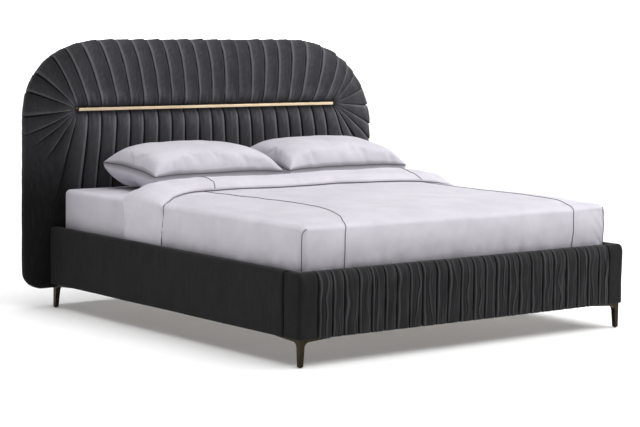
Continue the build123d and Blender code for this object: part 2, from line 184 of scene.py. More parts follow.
# ------------------------------------------------------------------ materials
class Nodes:
    """A short way to wire one material."""

    def __init__(self, name):
        self.material = bpy.data.materials.new(name)
        self.material.use_nodes = True
        self.tree = self.material.node_tree
        self.shader = self.tree.nodes["Principled BSDF"]

    def add(self, kind, **values):
        node = self.tree.nodes.new(kind)
        for key, value in values.items():
            setattr(node, key, value)
        return node

    def link(self, a, b):
        self.tree.links.new(a, b)

    def place(self, scale=(1, 1, 1)):
        """Object coordinates, stretched."""
        source = self.add("ShaderNodeTexCoord")
        mapping = self.add("ShaderNodeMapping")
        mapping.inputs["Scale"].default_value = scale
        self.link(source.outputs["Object"], mapping.inputs["Vector"])
        return mapping.outputs["Vector"]

    def noise(self, scale, detail=4.0, rough=0.55, stretch=(1, 1, 1), distortion=0.0):
        node = self.add("ShaderNodeTexNoise")
        node.inputs["Scale"].default_value = scale
        node.inputs["Detail"].default_value = detail
        node.inputs["Roughness"].default_value = rough
        node.inputs["Distortion"].default_value = distortion
        self.link(self.place(stretch), node.inputs["Vector"])
        return node.outputs["Fac"]

    def wave(self, scale, axis, distortion=0.0, stretch=(1, 1, 1)):
        node = self.add("ShaderNodeTexWave", bands_direction=axis)
        node.inputs["Scale"].default_value = scale
        node.inputs["Distortion"].default_value = distortion
        self.link(self.place(stretch), node.inputs["Vector"])
        return node.outputs["Fac"]

    def ramp(self, value, stops):
        """Colour from a value; stops are (position, colour)."""
        node = self.add("ShaderNodeValToRGB")
        elements = node.color_ramp.elements
        while len(elements) < len(stops):
            elements.new(0.5)
        for element, (position, colour) in zip(elements, stops):
            element.position = position
            element.color = (*colour, 1.0)
        self.link(value, node.inputs["Fac"])
        return node.outputs["Color"]

    def spread(self, value, low, high, out_low, out_high):
        node = self.add("ShaderNodeMapRange")
        for key, number in zip(("From Min", "From Max", "To Min", "To Max"), (low, high, out_low, out_high)):
            node.inputs[key].default_value = number
        self.link(value, node.inputs["Value"])
        return node.outputs["Result"]

    def maths(self, operation, a, b):
        node = self.add("ShaderNodeMath", operation=operation)
        for socket, value in zip(node.inputs, (a, b)):
            if isinstance(value, (int, float)):
                socket.default_value = value
            else:
                self.link(value, socket)
        return node.outputs["Value"]

    def mix(self, factor, a, b, blend="MIX"):
        node = self.add("ShaderNodeMix", data_type="RGBA", blend_type=blend)
        colours = [s for s in node.inputs if s.type == "RGBA"]
        for socket, value in ((node.inputs["Factor"], factor), (colours[0], a), (colours[1], b)):
            if isinstance(value, (int, float)):
                socket.default_value = value
            elif isinstance(value, tuple):
                socket.default_value = (*value, 1.0)
            else:
                self.link(value, socket)
        return [s for s in node.outputs if s.type == "RGBA"][0]

    def tone(self):
        node = self.add("ShaderNodeAttribute", attribute_type="GEOMETRY", attribute_name="tone")
        return node.outputs["Fac"]

    def bump(self, heights):
        """Bump from (height, strength, distance) triples, one over the other."""
        normal = None
        for height, strength, distance in heights:
            node = self.add("ShaderNodeBump")
            node.inputs["Strength"].default_value = strength
            node.inputs["Distance"].default_value = distance
            self.link(height, node.inputs["Height"])
            if normal is not None:
                self.link(normal, node.inputs["Normal"])
            normal = node.outputs["Normal"]
        self.link(normal, self.shader.inputs["Normal"])

    def set(self, **values):
        """Constant values, set on the shader's own sockets."""
        for key, value in values.items():
            self.shader.inputs[key.replace("_", " ")].default_value = value

    def feed(self, **values):
        """Linked values."""
        for key, value in values.items():
            self.link(value, self.shader.inputs[key.replace("_", " ")])


def velvet(name, dark, light, sheen, tint):
    """Short-pile velvet: blotchy pile direction, fine fibre and sheen; negative tone paints shade into the
    colour and cuts the sheen, in seams, creases and on shaded sides; positive tone paints highlight.
    """
    m = Nodes(name)
    crush = m.noise(9, 5, 0.6, distortion=0.4)
    streak = m.noise(70, 3, 0.6, stretch=(1, 1, 0.08))
    pile = m.noise(900, 2, 0.7)
    colour = m.ramp(crush, [(0.3, dark), (0.7, light)])
    colour = m.mix(m.spread(streak, 0.35, 0.65, 0.0, 0.22), colour, tuple(min(1, 1.9 * c) for c in light))
    colour = m.mix(m.spread(pile, 0.3, 0.7, 0.0, 0.25), colour, tuple(0.5 * c for c in dark))
    tone = m.tone()
    # painted shade: negative tone darkens the colour and, below, cuts the sheen
    seam = m.spread(tone, -1.0, 0.0, 0.0, 1.0)
    shaded = m.mix(seam, tuple(0.12 * c for c in dark), colour)
    # painted highlight: positive tone lightens the colour
    painted_highlight = m.spread(tone, 0.0, 1.0, 0.0, 1.0)
    colour = m.mix(painted_highlight, shaded, tuple(min(1, 3.3 * c) for c in light))
    m.feed(Base_Color=colour, Sheen_Weight=m.spread(tone, -1.0, 0.0, 0.1 * sheen, sheen))
    m.set(Roughness=0.9, Sheen_Roughness=0.38, Sheen_Tint=(*tint, 1.0),
          Specular_IOR_Level=0.15)
    m.bump([(crush, 0.12, 0.004), (pile, 0.35, 0.0006)])
    return m.material


def linen(name, dark, light, weave=1900.0):
    """Cotton sateen: fine weave, soft creases and a little sheen; negative tone paints shade into the
    colour.
    """
    m = Nodes(name)
    crease = m.noise(7, 4, 0.5, distortion=0.3)
    small = m.noise(46, 3, 0.5)
    fine = m.noise(600, 2, 0.6)
    warp = m.wave(weave / 6.28, "X")
    weft = m.wave(weave / 6.28, "Y")
    woven = m.maths("MULTIPLY", warp, weft)
    colour = m.ramp(crease, [(0.3, dark), (0.7, light)])
    colour = m.mix(m.spread(fine, 0.3, 0.7, 0.0, 0.12), colour, tuple(0.8 * c for c in dark))
    # painted shade: negative tone darkens the colour down the duvet's sides, on the sheet's sides and along
    # the pillow seams
    seam = m.spread(m.tone(), -1.0, 0.0, 0.0, 1.0)
    colour = m.mix(seam, tuple(0.35 * c for c in dark), colour)
    m.feed(Base_Color=colour, Roughness=m.spread(small, 0.3, 0.7, 0.5, 0.66))
    m.set(Sheen_Weight=0.25, Sheen_Roughness=0.4, Sheen_Tint=(0.95, 0.93, 1.0, 1.0), Specular_IOR_Level=0.35)
    m.bump([(crease, 0.25, 0.012), (small, 0.16, 0.003), (woven, 0.2, 0.00025)])
    return m.material


def cord_material(name, colour):
    """Twisted cotton cord."""
    m = Nodes(name)
    twist = m.noise(420, 2, 0.6)
    m.feed(Base_Color=m.ramp(twist, [(0.35, tuple(0.7 * c for c in colour)), (0.65, colour)]))
    m.set(Roughness=0.8, Sheen_Weight=0.2, Sheen_Roughness=0.5)
    m.bump([(twist, 0.5, 0.0006)])
    return m.material


def brushed_brass(name):
    m = Nodes(name)
    lines = m.noise(30, 3, 0.6, stretch=(0.25, 60, 60))
    cloud = m.noise(6, 3, 0.5)
    colour = m.ramp(cloud, [(0.3, (0.54, 0.42, 0.28)), (0.7, (0.65, 0.53, 0.38))])
    m.feed(Base_Color=colour, Roughness=m.spread(lines, 0.3, 0.7, 0.26, 0.42))
    m.set(Metallic=1.0, Coat_Weight=0.15, Coat_Roughness=0.25)
    m.bump([(lines, 0.12, 0.0004)])
    return m.material


def dark_bronze(name):
    m = Nodes(name)
    cloud = m.noise(22, 4, 0.6)
    scratch = m.noise(140, 3, 0.7, stretch=(1, 1, 0.15))
    colour = m.ramp(cloud, [(0.3, (0.012, 0.0075, 0.0025)), (0.72, (0.030, 0.019, 0.007))])
    m.feed(Base_Color=colour, Roughness=m.spread(scratch, 0.3, 0.7, 0.18, 0.32))
    m.set(Metallic=0.9, Coat_Weight=0.10, Coat_Roughness=0.15)
    m.bump([(scratch, 0.08, 0.0004)])
    return m.material


def steel(name, low, high, metallic, rough, grain=260):
    """Zinc plate or powder coat, by its colours."""
    m = Nodes(name)
    spangle = m.noise(grain, 3, 0.7)
    cloud = m.noise(25, 3, 0.6)
    m.feed(Base_Color=m.ramp(cloud, [(0.3, low), (0.7, high)]),
           Roughness=m.spread(spangle, 0.3, 0.7, rough - 0.1, rough + 0.1))
    m.set(Metallic=metallic)
    m.bump([(spangle, 0.2, 0.0005)])
    return m.material


def plastic(name, low, high):
    m = Nodes(name)
    grain = m.noise(700, 3, 0.6)
    m.feed(Base_Color=m.ramp(grain, [(0.3, low), (0.7, high)]))
    m.set(Roughness=0.62)
    m.bump([(grain, 0.3, 0.0003)])
    return m.material


def timber(name, dark, light, along):
    """Planed softwood with its grain along one axis."""
    stretch = [1.0, 1.0, 1.0]
    stretch["XYZ".index(along)] = 0.06
    m = Nodes(name)
    ring = m.noise(16, 2, 0.5, stretch=stretch, distortion=1.4)
    rings = m.maths("FRACT", m.maths("MULTIPLY", ring, 9.0), 0.0)
    pores = m.noise(260, 3, 0.6, stretch=stretch)
    colour = m.ramp(rings, [(0.0, dark), (0.35, light), (0.9, light), (1.0, dark)])
    colour = m.mix(m.spread(pores, 0.35, 0.65, 0.0, 0.35), colour, tuple(0.75 * c for c in dark))
    m.feed(Base_Color=colour, Roughness=m.spread(pores, 0.3, 0.7, 0.5, 0.68))
    m.bump([(pores, 0.2, 0.0006)])
    return m.material


def plywood(name):
    """Birch plywood: pale face grain with darker plies showing on the edges."""
    m = Nodes(name)
    grain = m.noise(26, 4, 0.6, stretch=(0.07, 1, 1), distortion=0.8)
    plies = m.wave(120, "Y", 0.4)
    colour = m.ramp(grain, [(0.3, (0.42, 0.29, 0.17)), (0.7, (0.62, 0.47, 0.30))])
    colour = m.mix(m.spread(plies, 0.4, 0.9, 0.0, 0.25), colour, (0.30, 0.19, 0.10))
    m.feed(Base_Color=colour)
    m.set(Roughness=0.6)
    m.bump([(grain, 0.15, 0.0006)])
    return m.material


def lining_cloth(name):
    """Black spun lining with its dimpled bonding points."""
    m = Nodes(name)
    dots = m.add("ShaderNodeTexVoronoi", feature="F1")
    dots.inputs["Scale"].default_value = 420
    m.link(m.place(), dots.inputs["Vector"])
    fibre = m.noise(160, 5, 0.7)
    m.feed(Base_Color=m.ramp(fibre, [(0.3, (0.012, 0.012, 0.013)), (0.75, (0.045, 0.045, 0.048))]))
    m.set(Roughness=0.88, Sheen_Weight=0.15, Sheen_Roughness=0.5)
    m.bump([(fibre, 0.3, 0.0008), (dots.outputs["Distance"], 0.4, 0.0008)])
    return m.material


MATERIALS = {
    # one velvet in two colours: the headboard's lighter colour and stronger sheen paint the light it
    # catches, the rails' darker colour paints their shade
    "velvet_headboard": velvet("velvet_headboard", (0.037, 0.036, 0.040), (0.049, 0.048, 0.053),
                               0.30, (0.75, 0.74, 0.80)),
    "velvet_rails": velvet("velvet_rails", (0.012, 0.012, 0.013), (0.018, 0.018, 0.019),
                           0.16, (0.72, 0.72, 0.76)),
    "lining_cloth": lining_cloth("lining_cloth"),
    "brass_trim": brushed_brass("brass_trim"),
    "bronze_leg": dark_bronze("bronze_leg"),
    "glide_plastic": plastic("glide_plastic", (0.01, 0.01, 0.01), (0.03, 0.03, 0.03)),
    "zinc_steel": steel("zinc_steel", (0.45, 0.46, 0.47), (0.62, 0.63, 0.64), 1.0, 0.38),
    "black_steel": steel("black_steel", (0.012, 0.012, 0.013), (0.03, 0.03, 0.031), 0.3, 0.55, 900),
    "plywood": plywood("plywood"),
    "timber": timber("timber", (0.42, 0.26, 0.12), (0.62, 0.44, 0.25), "Y"),
    "slat_wood": timber("slat_wood", (0.52, 0.34, 0.17), (0.72, 0.54, 0.33), "X"),
    "mattress_ticking": linen("mattress_ticking", (0.56, 0.55, 0.60), (0.68, 0.67, 0.72)),
    "bed_linen": linen("bed_linen", (0.562, 0.540, 0.598), (0.645, 0.622, 0.682)),
    # the pillows' linen is the bed linen painted a little darker, as painted shade
    "pillow_linen": linen("pillow_linen", (0.530, 0.508, 0.565), (0.610, 0.588, 0.645)),
    "piping": cord_material("piping", (0.10, 0.09, 0.105)),
}


def dress_frame():
    """Give every CAD node that stays the material of its slot."""
    slots = {s["node"]: s["material_slot"] for s in frame["record"]["subparts"]}
    for node, obj in frame["nodes"].items():
        obj.data.materials.clear()
        obj.data.materials.append(MATERIALS[slots[node]])
        bevel = obj.modifiers.new("soft_edges", "BEVEL")
        bevel.width = 0.0008
        bevel.segments = 2
        bevel.limit_method = "ANGLE"


# ------------------------------------------------------------------ headboard cushion
LEFT_SHOULDER = (0.49, 0.40, 2.32)      # across, down and the power of its curve
RIGHT_SHOULDER = (0.57, 0.48, 2.05)
BOTTOM_RADIUS = 0.100
half_width = cushion_hi.x + 0.007
z_top, z_bottom = cushion_hi.z, cushion_lo.z
z_trim = (trim_lo.z + trim_hi.z) / 2
slot_half = trim_hi.x + 0.004
slot_height = 0.0105


def outline_path():
    """The headboard's outline as dense points, clockwise from the foot side, from the top middle."""
    w, b = half_width, BOTTOM_RADIUS
    step = 0.004
    runs = []

    def line(x0, z0, x1, z1):
        n = max(2, int(math.hypot(x1 - x0, z1 - z0) / step))
        s = np.linspace(0, 1, n, endpoint=False)
        runs.append(np.stack([x0 + (x1 - x0) * s, z0 + (z1 - z0) * s], -1))

    def arc(cx, cz, r, start):
        n = int(r * math.pi / 2 / step)
        a = np.radians(start) - np.linspace(0, math.pi / 2, n, endpoint=False)
        runs.append(np.stack([cx + r * np.cos(a), cz + r * np.sin(a)], -1))

    def shoulder(angles, side, across, down, power):
        c, s = np.abs(np.cos(angles)), np.abs(np.sin(angles))
        x = w - across + across * c ** (2 / power)
        runs.append(np.stack([side * x, z_top - down + down * s ** (2 / power)], -1))

    quarter = np.linspace(math.pi / 2, 0, 190, endpoint=False)
    line(0, z_top, w - RIGHT_SHOULDER[0], z_top)
    shoulder(quarter, 1, *RIGHT_SHOULDER)
    line(w, z_top - RIGHT_SHOULDER[1], w, z_bottom + b)
    arc(w - b, z_bottom + b, b, 0)
    line(w - b, z_bottom, b - w, z_bottom)
    arc(b - w, z_bottom + b, b, -90)
    line(-w, z_bottom + b, -w, z_top - LEFT_SHOULDER[1])
    shoulder(math.pi / 2 - quarter, -1, *LEFT_SHOULDER)
    line(LEFT_SHOULDER[0] - w, z_top, 0, z_top)
    return np.concatenate(runs)


def slot_path():
    """The gathered mouth round the trim strip, clockwise from the top middle."""
    a, h = slot_half, slot_height
    flat = np.linspace(0, a - h, 90, endpoint=False)
    turn = np.linspace(math.pi / 2, -math.pi / 2, 40, endpoint=False)
    right = np.stack([a - h + h * np.cos(turn), h * np.sin(turn)], -1)
    top_right = np.stack([flat, np.full_like(flat, h)], -1)
    bottom = np.linspace(a - h, h - a, 180, endpoint=False)
    below = np.stack([bottom, np.full_like(bottom, -h)], -1)
    left = -right
    top_left = np.stack([np.linspace(h - a, 0, 90, endpoint=False), np.full(90, h)], -1)
    path = np.concatenate([top_right, right, below, left, top_left])
    path[:, 1] += z_trim
    return path


def outline_distance(x, z):
    """Distance inside the headboard's outline."""
    cz = (z_top + z_bottom) / 2
    hz = (z_top - z_bottom) / 2
    upper = z > cz
    shoulder = [np.where(x < 0, a, b) for a, b in zip(LEFT_SHOULDER, RIGHT_SHOULDER)]
    across = np.where(upper, shoulder[0], BOTTOM_RADIUS)
    down = np.where(upper, shoulder[1], BOTTOM_RADIUS)
    qx = np.maximum((np.abs(x) - half_width + across) / across, 0)
    qz = np.maximum((np.abs(z - cz) - hz + down) / down, 0)
    straight = np.minimum(half_width - np.abs(x), hz - np.abs(z - cz))
    power = np.where(upper, shoulder[2], 2.0)
    corner = (1 - (qx ** power + qz ** power) ** (1 / power)) * np.minimum(across, down)
    return np.minimum(straight, np.where((qx > 0) & (qz > 0), corner, straight))


def slot_distance(x, z):
    """Distance from the mouth round the trim strip."""
    dx = np.maximum(np.abs(x) - (slot_half - slot_height), 0)
    return np.maximum(np.hypot(dx, z - z_trim) - slot_height, 0)


EDGE_REACH = 0.185          # how far in the rounded edge of the cushion starts
EDGE_FALL = 0.052           # how far back it falls
CROWN = 0.004               # low down, the cushion's face stands this far behind the CAD face
PUFF = 0.005                # above the mattress its fullest part stands this much further out


def cushion_depth(x, z):
    """y of the cushion's front, without its pleats."""
    d_out = np.clip(outline_distance(x, z), 0, EDGE_REACH)
    d_in = slot_distance(x, z)
    edge = EDGE_FALL * (1 - np.sqrt(np.maximum(1 - (1 - d_out / EDGE_REACH) ** 2, 0)))
    valley = 0.020 * np.exp(-d_in / 0.022) + 0.016 * np.exp(-d_in / 0.10)
    full = PUFF * smooth(z, mattress_hi.z + 0.02, mattress_hi.z + 0.20)
    return cushion_lo.y + CROWN - full + edge + valley


TOP_PLEATS = 19
FAN_LEFT = (62, 38, 18, -7, -23, -35, -52, -72)
FAN_RIGHT = (62, 46, 21, -3, -23, -36, -51, -70)
LEAN = through([(-0.75, -0.90), (-0.50, -0.585), (-0.25, -0.31), (0.0, -0.035), (0.25, 0.235), (0.45, 0.46),
                (0.60, 0.640), (0.75, 0.89)], 0.01)


def pleat_lines():
    """Where each pleat line leaves the trim strip and where it meets the outline, clockwise."""
    x_in = np.linspace(-0.748, 0.748, TOP_PLEATS)
    lines = []
    high = z_top - 0.001
    for x in x_in:
        lines.append(((x, z_trim + slot_height), (float(LEAN(x)), high)))
    for a in np.radians(FAN_RIGHT):
        lines.append(((slot_half, z_trim + 0.3 * slot_height * math.sin(a)),
                      (0.79 + 2 * math.cos(a), z_trim + 2 * math.sin(a))))
    for x in x_in[::-1]:
        lines.append(((x, z_trim - slot_height), (x * 1.14, z_bottom)))
    for a in np.radians(FAN_LEFT)[::-1]:
        lines.append(((-slot_half, z_trim + 0.3 * slot_height * math.sin(a)),
                      (-0.79 - 2 * math.cos(a), z_trim + 2 * math.sin(a))))
    return lines


def arc_length(path):
    closed = np.vstack([path, path[:1]])
    return np.concatenate([[0], np.cumsum(np.linalg.norm(np.diff(closed, axis=0), axis=1))])


def nearest(path, point):
    return int(np.argmin(np.linalg.norm(path - np.asarray(point), axis=1)))


def first_crossing(path, start, towards):
    """Index of the outline point that a ray from start meets."""
    ray = np.asarray(towards) - np.asarray(start)
    ray = ray / np.linalg.norm(ray)
    to_path = path - np.asarray(start)
    along = to_path @ ray
    off = np.abs(to_path[:, 0] * ray[1] - to_path[:, 1] * ray[0])
    off[along < 0] = 1e3
    return int(np.argmin(off))


def sample(path, lengths, s):
    """Points at arc lengths s, which may run past the end."""
    total = lengths[-1]
    closed = np.vstack([path, path[:1]])
    s = np.mod(s, total)
    return np.stack([np.interp(s, lengths, closed[:, k]) for k in (0, 1)], -1)


KNIFE = np.array([0.0, 0.014, 0.03, 0.055, 0.09, 0.15, 0.25, 0.38,
                  0.52, 0.66, 0.78, 0.87, 0.93, 0.965, 0.985])


def knife_profile(c):
    """Height across one knife pleat, 0 to 1: a crease, a gentle rise and an overlapping fold."""
    rise = smooth(c, 0.0, 0.075)
    slope = smooth(c, 0.05, 0.9)
    drop = 1 - smooth(c, 0.955, 1.0)
    return (-1.0 + rise * 0.95 + slope * 0.45) * drop - (1 - drop)


def knife_tone(c):
    """Painted shade in the crease, a painted highlight just after it, and painted shade towards the
    overlapped fold.
    """
    dark = (1 - smooth(c, 0.015, 0.075)) + smooth(c, 0.955, 0.99)
    light = smooth(c, 0.06, 0.10) * (1 - smooth(c, 0.13, 0.26))
    fall = smooth(c, 0.50, 0.94)
    return -dark + 0.62 * light + 0.12 * (1 - smooth(c, 0.2, 0.6)) - 0.24 * fall * (1 - dark)


def make_headboard():
    outer, inner = outline_path(), slot_path()
    outer_s, inner_s = arc_length(outer), arc_length(inner)
    lines = pleat_lines()
    s_in, s_out = [], []
    for start, end in lines:
        s_in.append(inner_s[nearest(inner, start)])
        s_out.append(outer_s[first_crossing(outer, start, end)])
    s_in = np.unwrap(np.array(s_in) / inner_s[-1] * 2 * math.pi) / (2 * math.pi) * inner_s[-1]
    s_out = np.unwrap(np.array(s_out) / outer_s[-1] * 2 * math.pi) / (2 * math.pi) * outer_s[-1]
    s_in = np.append(s_in, s_in[0] + inner_s[-1])
    s_out = np.append(s_out, s_out[0] + outer_s[-1])

    count = len(lines)
    cell = np.repeat(np.arange(count), len(KNIFE))
    c = np.tile(KNIFE, count)
    at_in = s_in[cell] + (s_in[cell + 1] - s_in[cell]) * c
    at_out = s_out[cell] + (s_out[cell + 1] - s_out[cell]) * c
    start = sample(inner, inner_s, at_in)
    end = sample(outer, outer_s, at_out)

    rows = 84
    tau = np.linspace(0, 1, rows)
    t = 0.5 * (1 - np.cos(math.pi * tau))
    xz = start[None] * (1 - t)[:, None, None] + end[None] * t[:, None, None]
    x, z = xz[..., 0], xz[..., 1]
    front = np.stack([x, cushion_depth(x, z), z], -1)

    # the mouth turns in behind the strip, and the edge wraps round to the back panel
    mouth = np.repeat(front[:1], 3, 0)
    mouth[:, :, 1] += np.array([0.016, 0.010, 0.005])[:, None]
    centre = np.array([0.0, z_trim])
    for k, pull in enumerate((0.35, 0.15, 0.04)):
        mouth[k, :, 2] = mouth[k, :, 2] * (1 - pull) + centre[1] * pull
    edge_y = front[-1, :, 1]
    wrap_y = np.array([0.25, 0.5, 0.75, 0.92, 1.0])
    wrap_in = np.array([0.0, 0.0, 0.0008, 0.004, 0.012])
    outer_pt = np.stack([end[:, 0], end[:, 1]], -1)
    tangent = np.gradient(outer_pt, axis=0)
    tangent /= np.maximum(np.linalg.norm(tangent, axis=1, keepdims=True), 1e-9)
    inward = np.stack([tangent[:, 1], -tangent[:, 0]], -1)
    back_y = back_lo.y - 0.0004
    wrap = np.stack([np.stack([outer_pt[:, 0] + inward[:, 0] * d,
                               edge_y + (back_y - edge_y) * f,
                               outer_pt[:, 1] + inward[:, 1] * d], -1) for f, d in zip(wrap_y, wrap_in)])
    base = np.concatenate([mouth, front, wrap])
    normal = grid_normals(base, wrap_cols=True)
    if normal[rows // 2, 10, 1] > 0:
        normal = -normal

    # pleats: full between strip and edge, tighter at the strip, easing off low on each side
    source = np.random.default_rng(7)
    strength = source.uniform(0.82, 1.12, count)
    strength[[11, TOP_PLEATS + 1, TOP_PLEATS + 2]] = 0.35, 0.5, 0.4
    d_in = slot_distance(base[..., 0], base[..., 2])
    side_line = np.zeros(count)
    side_line[TOP_PLEATS:TOP_PLEATS + len(FAN_RIGHT)] = 0.8 * smooth(-np.array(FAN_RIGHT), 20, 60)
    side_line[count - len(FAN_LEFT):] = smooth(-np.array(FAN_LEFT[::-1]), -8, 34)
    fade = 1 - side_line[cell][None] * smooth(d_in, 0.16, 0.33)
    low = 1 - 0.75 * (1 - smooth(base[..., 2], 0.28, 0.52))
    near = 0.45 + 0.55 * smooth(d_in, 0.0, 0.07)
    wrap_fade = np.ones(len(base))
    wrap_fade[rows + 3:] = (0.8, 0.6, 0.4, 0.2, 0.0)
    amount = strength[cell][None] * fade * low * near * wrap_fade[:, None]
    cell_width = np.linalg.norm(np.roll(base[:, ::len(KNIFE)], -1, 1) - base[:, ::len(KNIFE)], axis=-1)
    width = np.repeat(cell_width, len(KNIFE), axis=1)
    room = np.clip(width / 0.08, 0.12, 1.15)
    height = 0.0088 * knife_profile(c)[None] * amount * room

    ripple = wave_noise(3, 9, 0.05, 0.16)
    crumple = wave_noise(5, 12, 0.012, 0.035)
    along = np.linspace(0, 1, len(base))[:, None] * np.ones_like(c)[None]
    height = height + 0.0011 * ripple(cell[None] * 3.1 + c[None] * 0.07, along * 0.5) * fade
    height = height + 0.0005 * crumple(c[None] * 0.08 + cell[None], along * 0.16)
    gather = wave_noise(23, 16, 0.010, 0.030)(at_in[None] + 0 * d_in, d_in * 0.12)
    gathered = np.exp(-d_in / 0.055) * smooth(d_in, 0.0, 0.02)
    height = height + 0.0016 * gather * gathered
    points = base + normal * height[..., None]
    points[:, :, 1] = np.maximum(points[:, :, 1], mattress_hi.y + 0.0015)
    points[:, :, 1] = np.minimum(points[:, :, 1], back_y)

    # painted light: shade in the pleat creases and highlight after them, shade in the strip's mouth, on the
    # left side and low down, highlight on the gathers' ridges and in a band near the strip
    tone = knife_tone(c)[None] * np.clip(amount * 1.15, 0, 1)
    painted_mouth_shade = -0.55 * np.exp(-d_in / 0.016)
    painted_side_shade = -0.52 * smooth(-base[..., 0], 0.72, 0.97) - 0.46 * (1 - smooth(base[..., 2], 0.45, 0.92))
    tone = tone + 0.30 * gather * gathered + 0.14 * np.exp(-((d_in - 0.05) / 0.035) ** 2)
    tone = np.clip(tone + painted_mouth_shade + painted_side_shade + 0.05 * ripple(along * 2.0, cell[None] * 1.7 + c[None]), -1, 1)

    cols = points.shape[1]
    faces = grid_faces(len(points), cols, wrap_cols=True)
    flat = points.reshape(-1, 3)
    flat = np.vstack([flat, [0.0, float(base[0, :, 1].mean()), z_trim],
                      [0.0, back_y, (z_top + z_bottom) / 2]])
    hub_in, hub_out = len(flat) - 2, len(flat) - 1
    last = (len(points) - 1) * cols
    for j in range(cols):
        k = (j + 1) % cols
        faces.append((hub_in, k, j))
        faces.append((hub_out, last + j, last + k))
    # painted shade on the two hub points, in the mouth and at the back
    tones = np.append(tone.ravel(), [-1.0, -0.5])
    obj = mesh_piece("headboard_cushion_pleated", flat, faces, MATERIALS["velvet_headboard"], tones)
    face_outward(obj)
    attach(obj, FRAME_BODY)
    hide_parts("headboard_cushion")
    return obj


# ------------------------------------------------------------------ rails
def rail_profile(depth, z0, z1, across, down, rows=(6, 34, 20, 10, 5, 12)):
    """Closed outline of a covered rail as (distance in from the face, z, share of the fabric's movement)."""
    out = []
    low = 0.006
    for t in np.linspace(1, 0, rows[0], endpoint=False):
        out.append((low + (depth - low) * t, z0, 0.0))
    for a in np.linspace(0, math.pi / 2, 5, endpoint=False):
        out.append((low * (1 - math.sin(a)), z0 + low * (1 - math.cos(a)), 0.3 + 0.12 * a))
    for t in np.linspace(0, 1, rows[1], endpoint=False):
        out.append((0.0, z0 + low + (z1 - down - z0 - low) * t, 0.5 + 0.5 * min(1, 6 * t)))
    for a in np.linspace(0, math.pi / 2, rows[2], endpoint=False):
        out.append((across * (1 - math.cos(a)), z1 - down + down * math.sin(a), max(0.26, 1 - 0.58 * a)))
    rest = 0.007
    for t in np.linspace(0, 1, rows[3], endpoint=False):
        out.append((across + (depth - rest - across) * t, z1, 0.26 - 0.20 * t))
    for a in np.linspace(0, math.pi / 2, rows[4], endpoint=False):
        out.append((depth - rest * (1 - math.sin(a)), z1 - rest * (1 - math.cos(a)), 0.1))
    for t in np.linspace(0, 1, rows[5], endpoint=False):
        out.append((depth, z1 - rest + (z0 - z1 + rest) * t, 0.0))
    return np.array(out)


def make_rail(name, node, outer, inner, z0, z1, rounding, offset, tone=None):
    """Cloth round one rail: outer and inner are plan paths, offset(i, x, y, z) moves it out."""
    count = len(outer)
    grid, share = [], None
    for j in range(count):
        depth = float(np.linalg.norm(inner[j] - outer[j]))
        towards = (inner[j] - outer[j]) / depth
        prof = rail_profile(depth, z0, z1, *rounding(j))
        share = prof[:, 2]
        grid.append(np.stack([outer[j][0] + towards[0] * prof[:, 0],
                              outer[j][1] + towards[1] * prof[:, 0], prof[:, 1]], -1))
    grid = np.array(grid)
    rows = grid.shape[1]
    closed = np.concatenate([grid[:, -1:], grid, grid[:, :1]], 1)
    normal = np.cross(np.gradient(grid, axis=0), (closed[:, 2:] - closed[:, :-2]))
    normal /= np.maximum(np.linalg.norm(normal, axis=-1, keepdims=True), 1e-12)
    away = outer[count // 2] - inner[count // 2]
    if normal[count // 2, rows // 3, :2] @ away < 0:
        normal = -normal
    station = np.arange(count)[:, None] * np.ones(rows)[None]
    height, tones = offset(station, grid[..., 0], grid[..., 1], grid[..., 2])
    grid = grid + normal * (height * share[None])[..., None]
    faces = grid_faces(count, rows, wrap_cols=True)
    faces.append(list(range(rows)))
    faces.append([(count - 1) * rows + k for k in range(rows)][::-1])
    tones = np.clip(tones * smooth(share, 0.0, 0.22)[None], -1, 1)
    obj = mesh_piece(name, grid.reshape(-1, 3), faces, MATERIALS["velvet_rails"], tones)
    face_outward(obj)
    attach(obj, FRAME_BODY)
    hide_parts(node)
    return obj


CLOTH = 0.0015               # visual cloth stands this far inside the CAD face
foot_y = foot_lo.y + CLOTH
side_x = side_hi.x - CLOTH
rail_low, rail_high = side_lo.z, side_hi.z
seam_end = foot_hi.x
FOOT_ROUND = (0.034, 0.060)
SIDE_ROUND = (0.016, 0.020)

soft_long = wave_noise(11, 9, 0.35, 0.9)
soft_mid = wave_noise(12, 12, 0.10, 0.26)
soft_short = wave_noise(13, 14, 0.02, 0.06)


def plan_wrinkle(x, y, z):
    """The small unevenness of tight velvet over foam."""
    s = x + y
    return 0.0011 * soft_long(s, z) + 0.0006 * soft_mid(s, z * 0.8) + 0.00022 * soft_short(s, z)


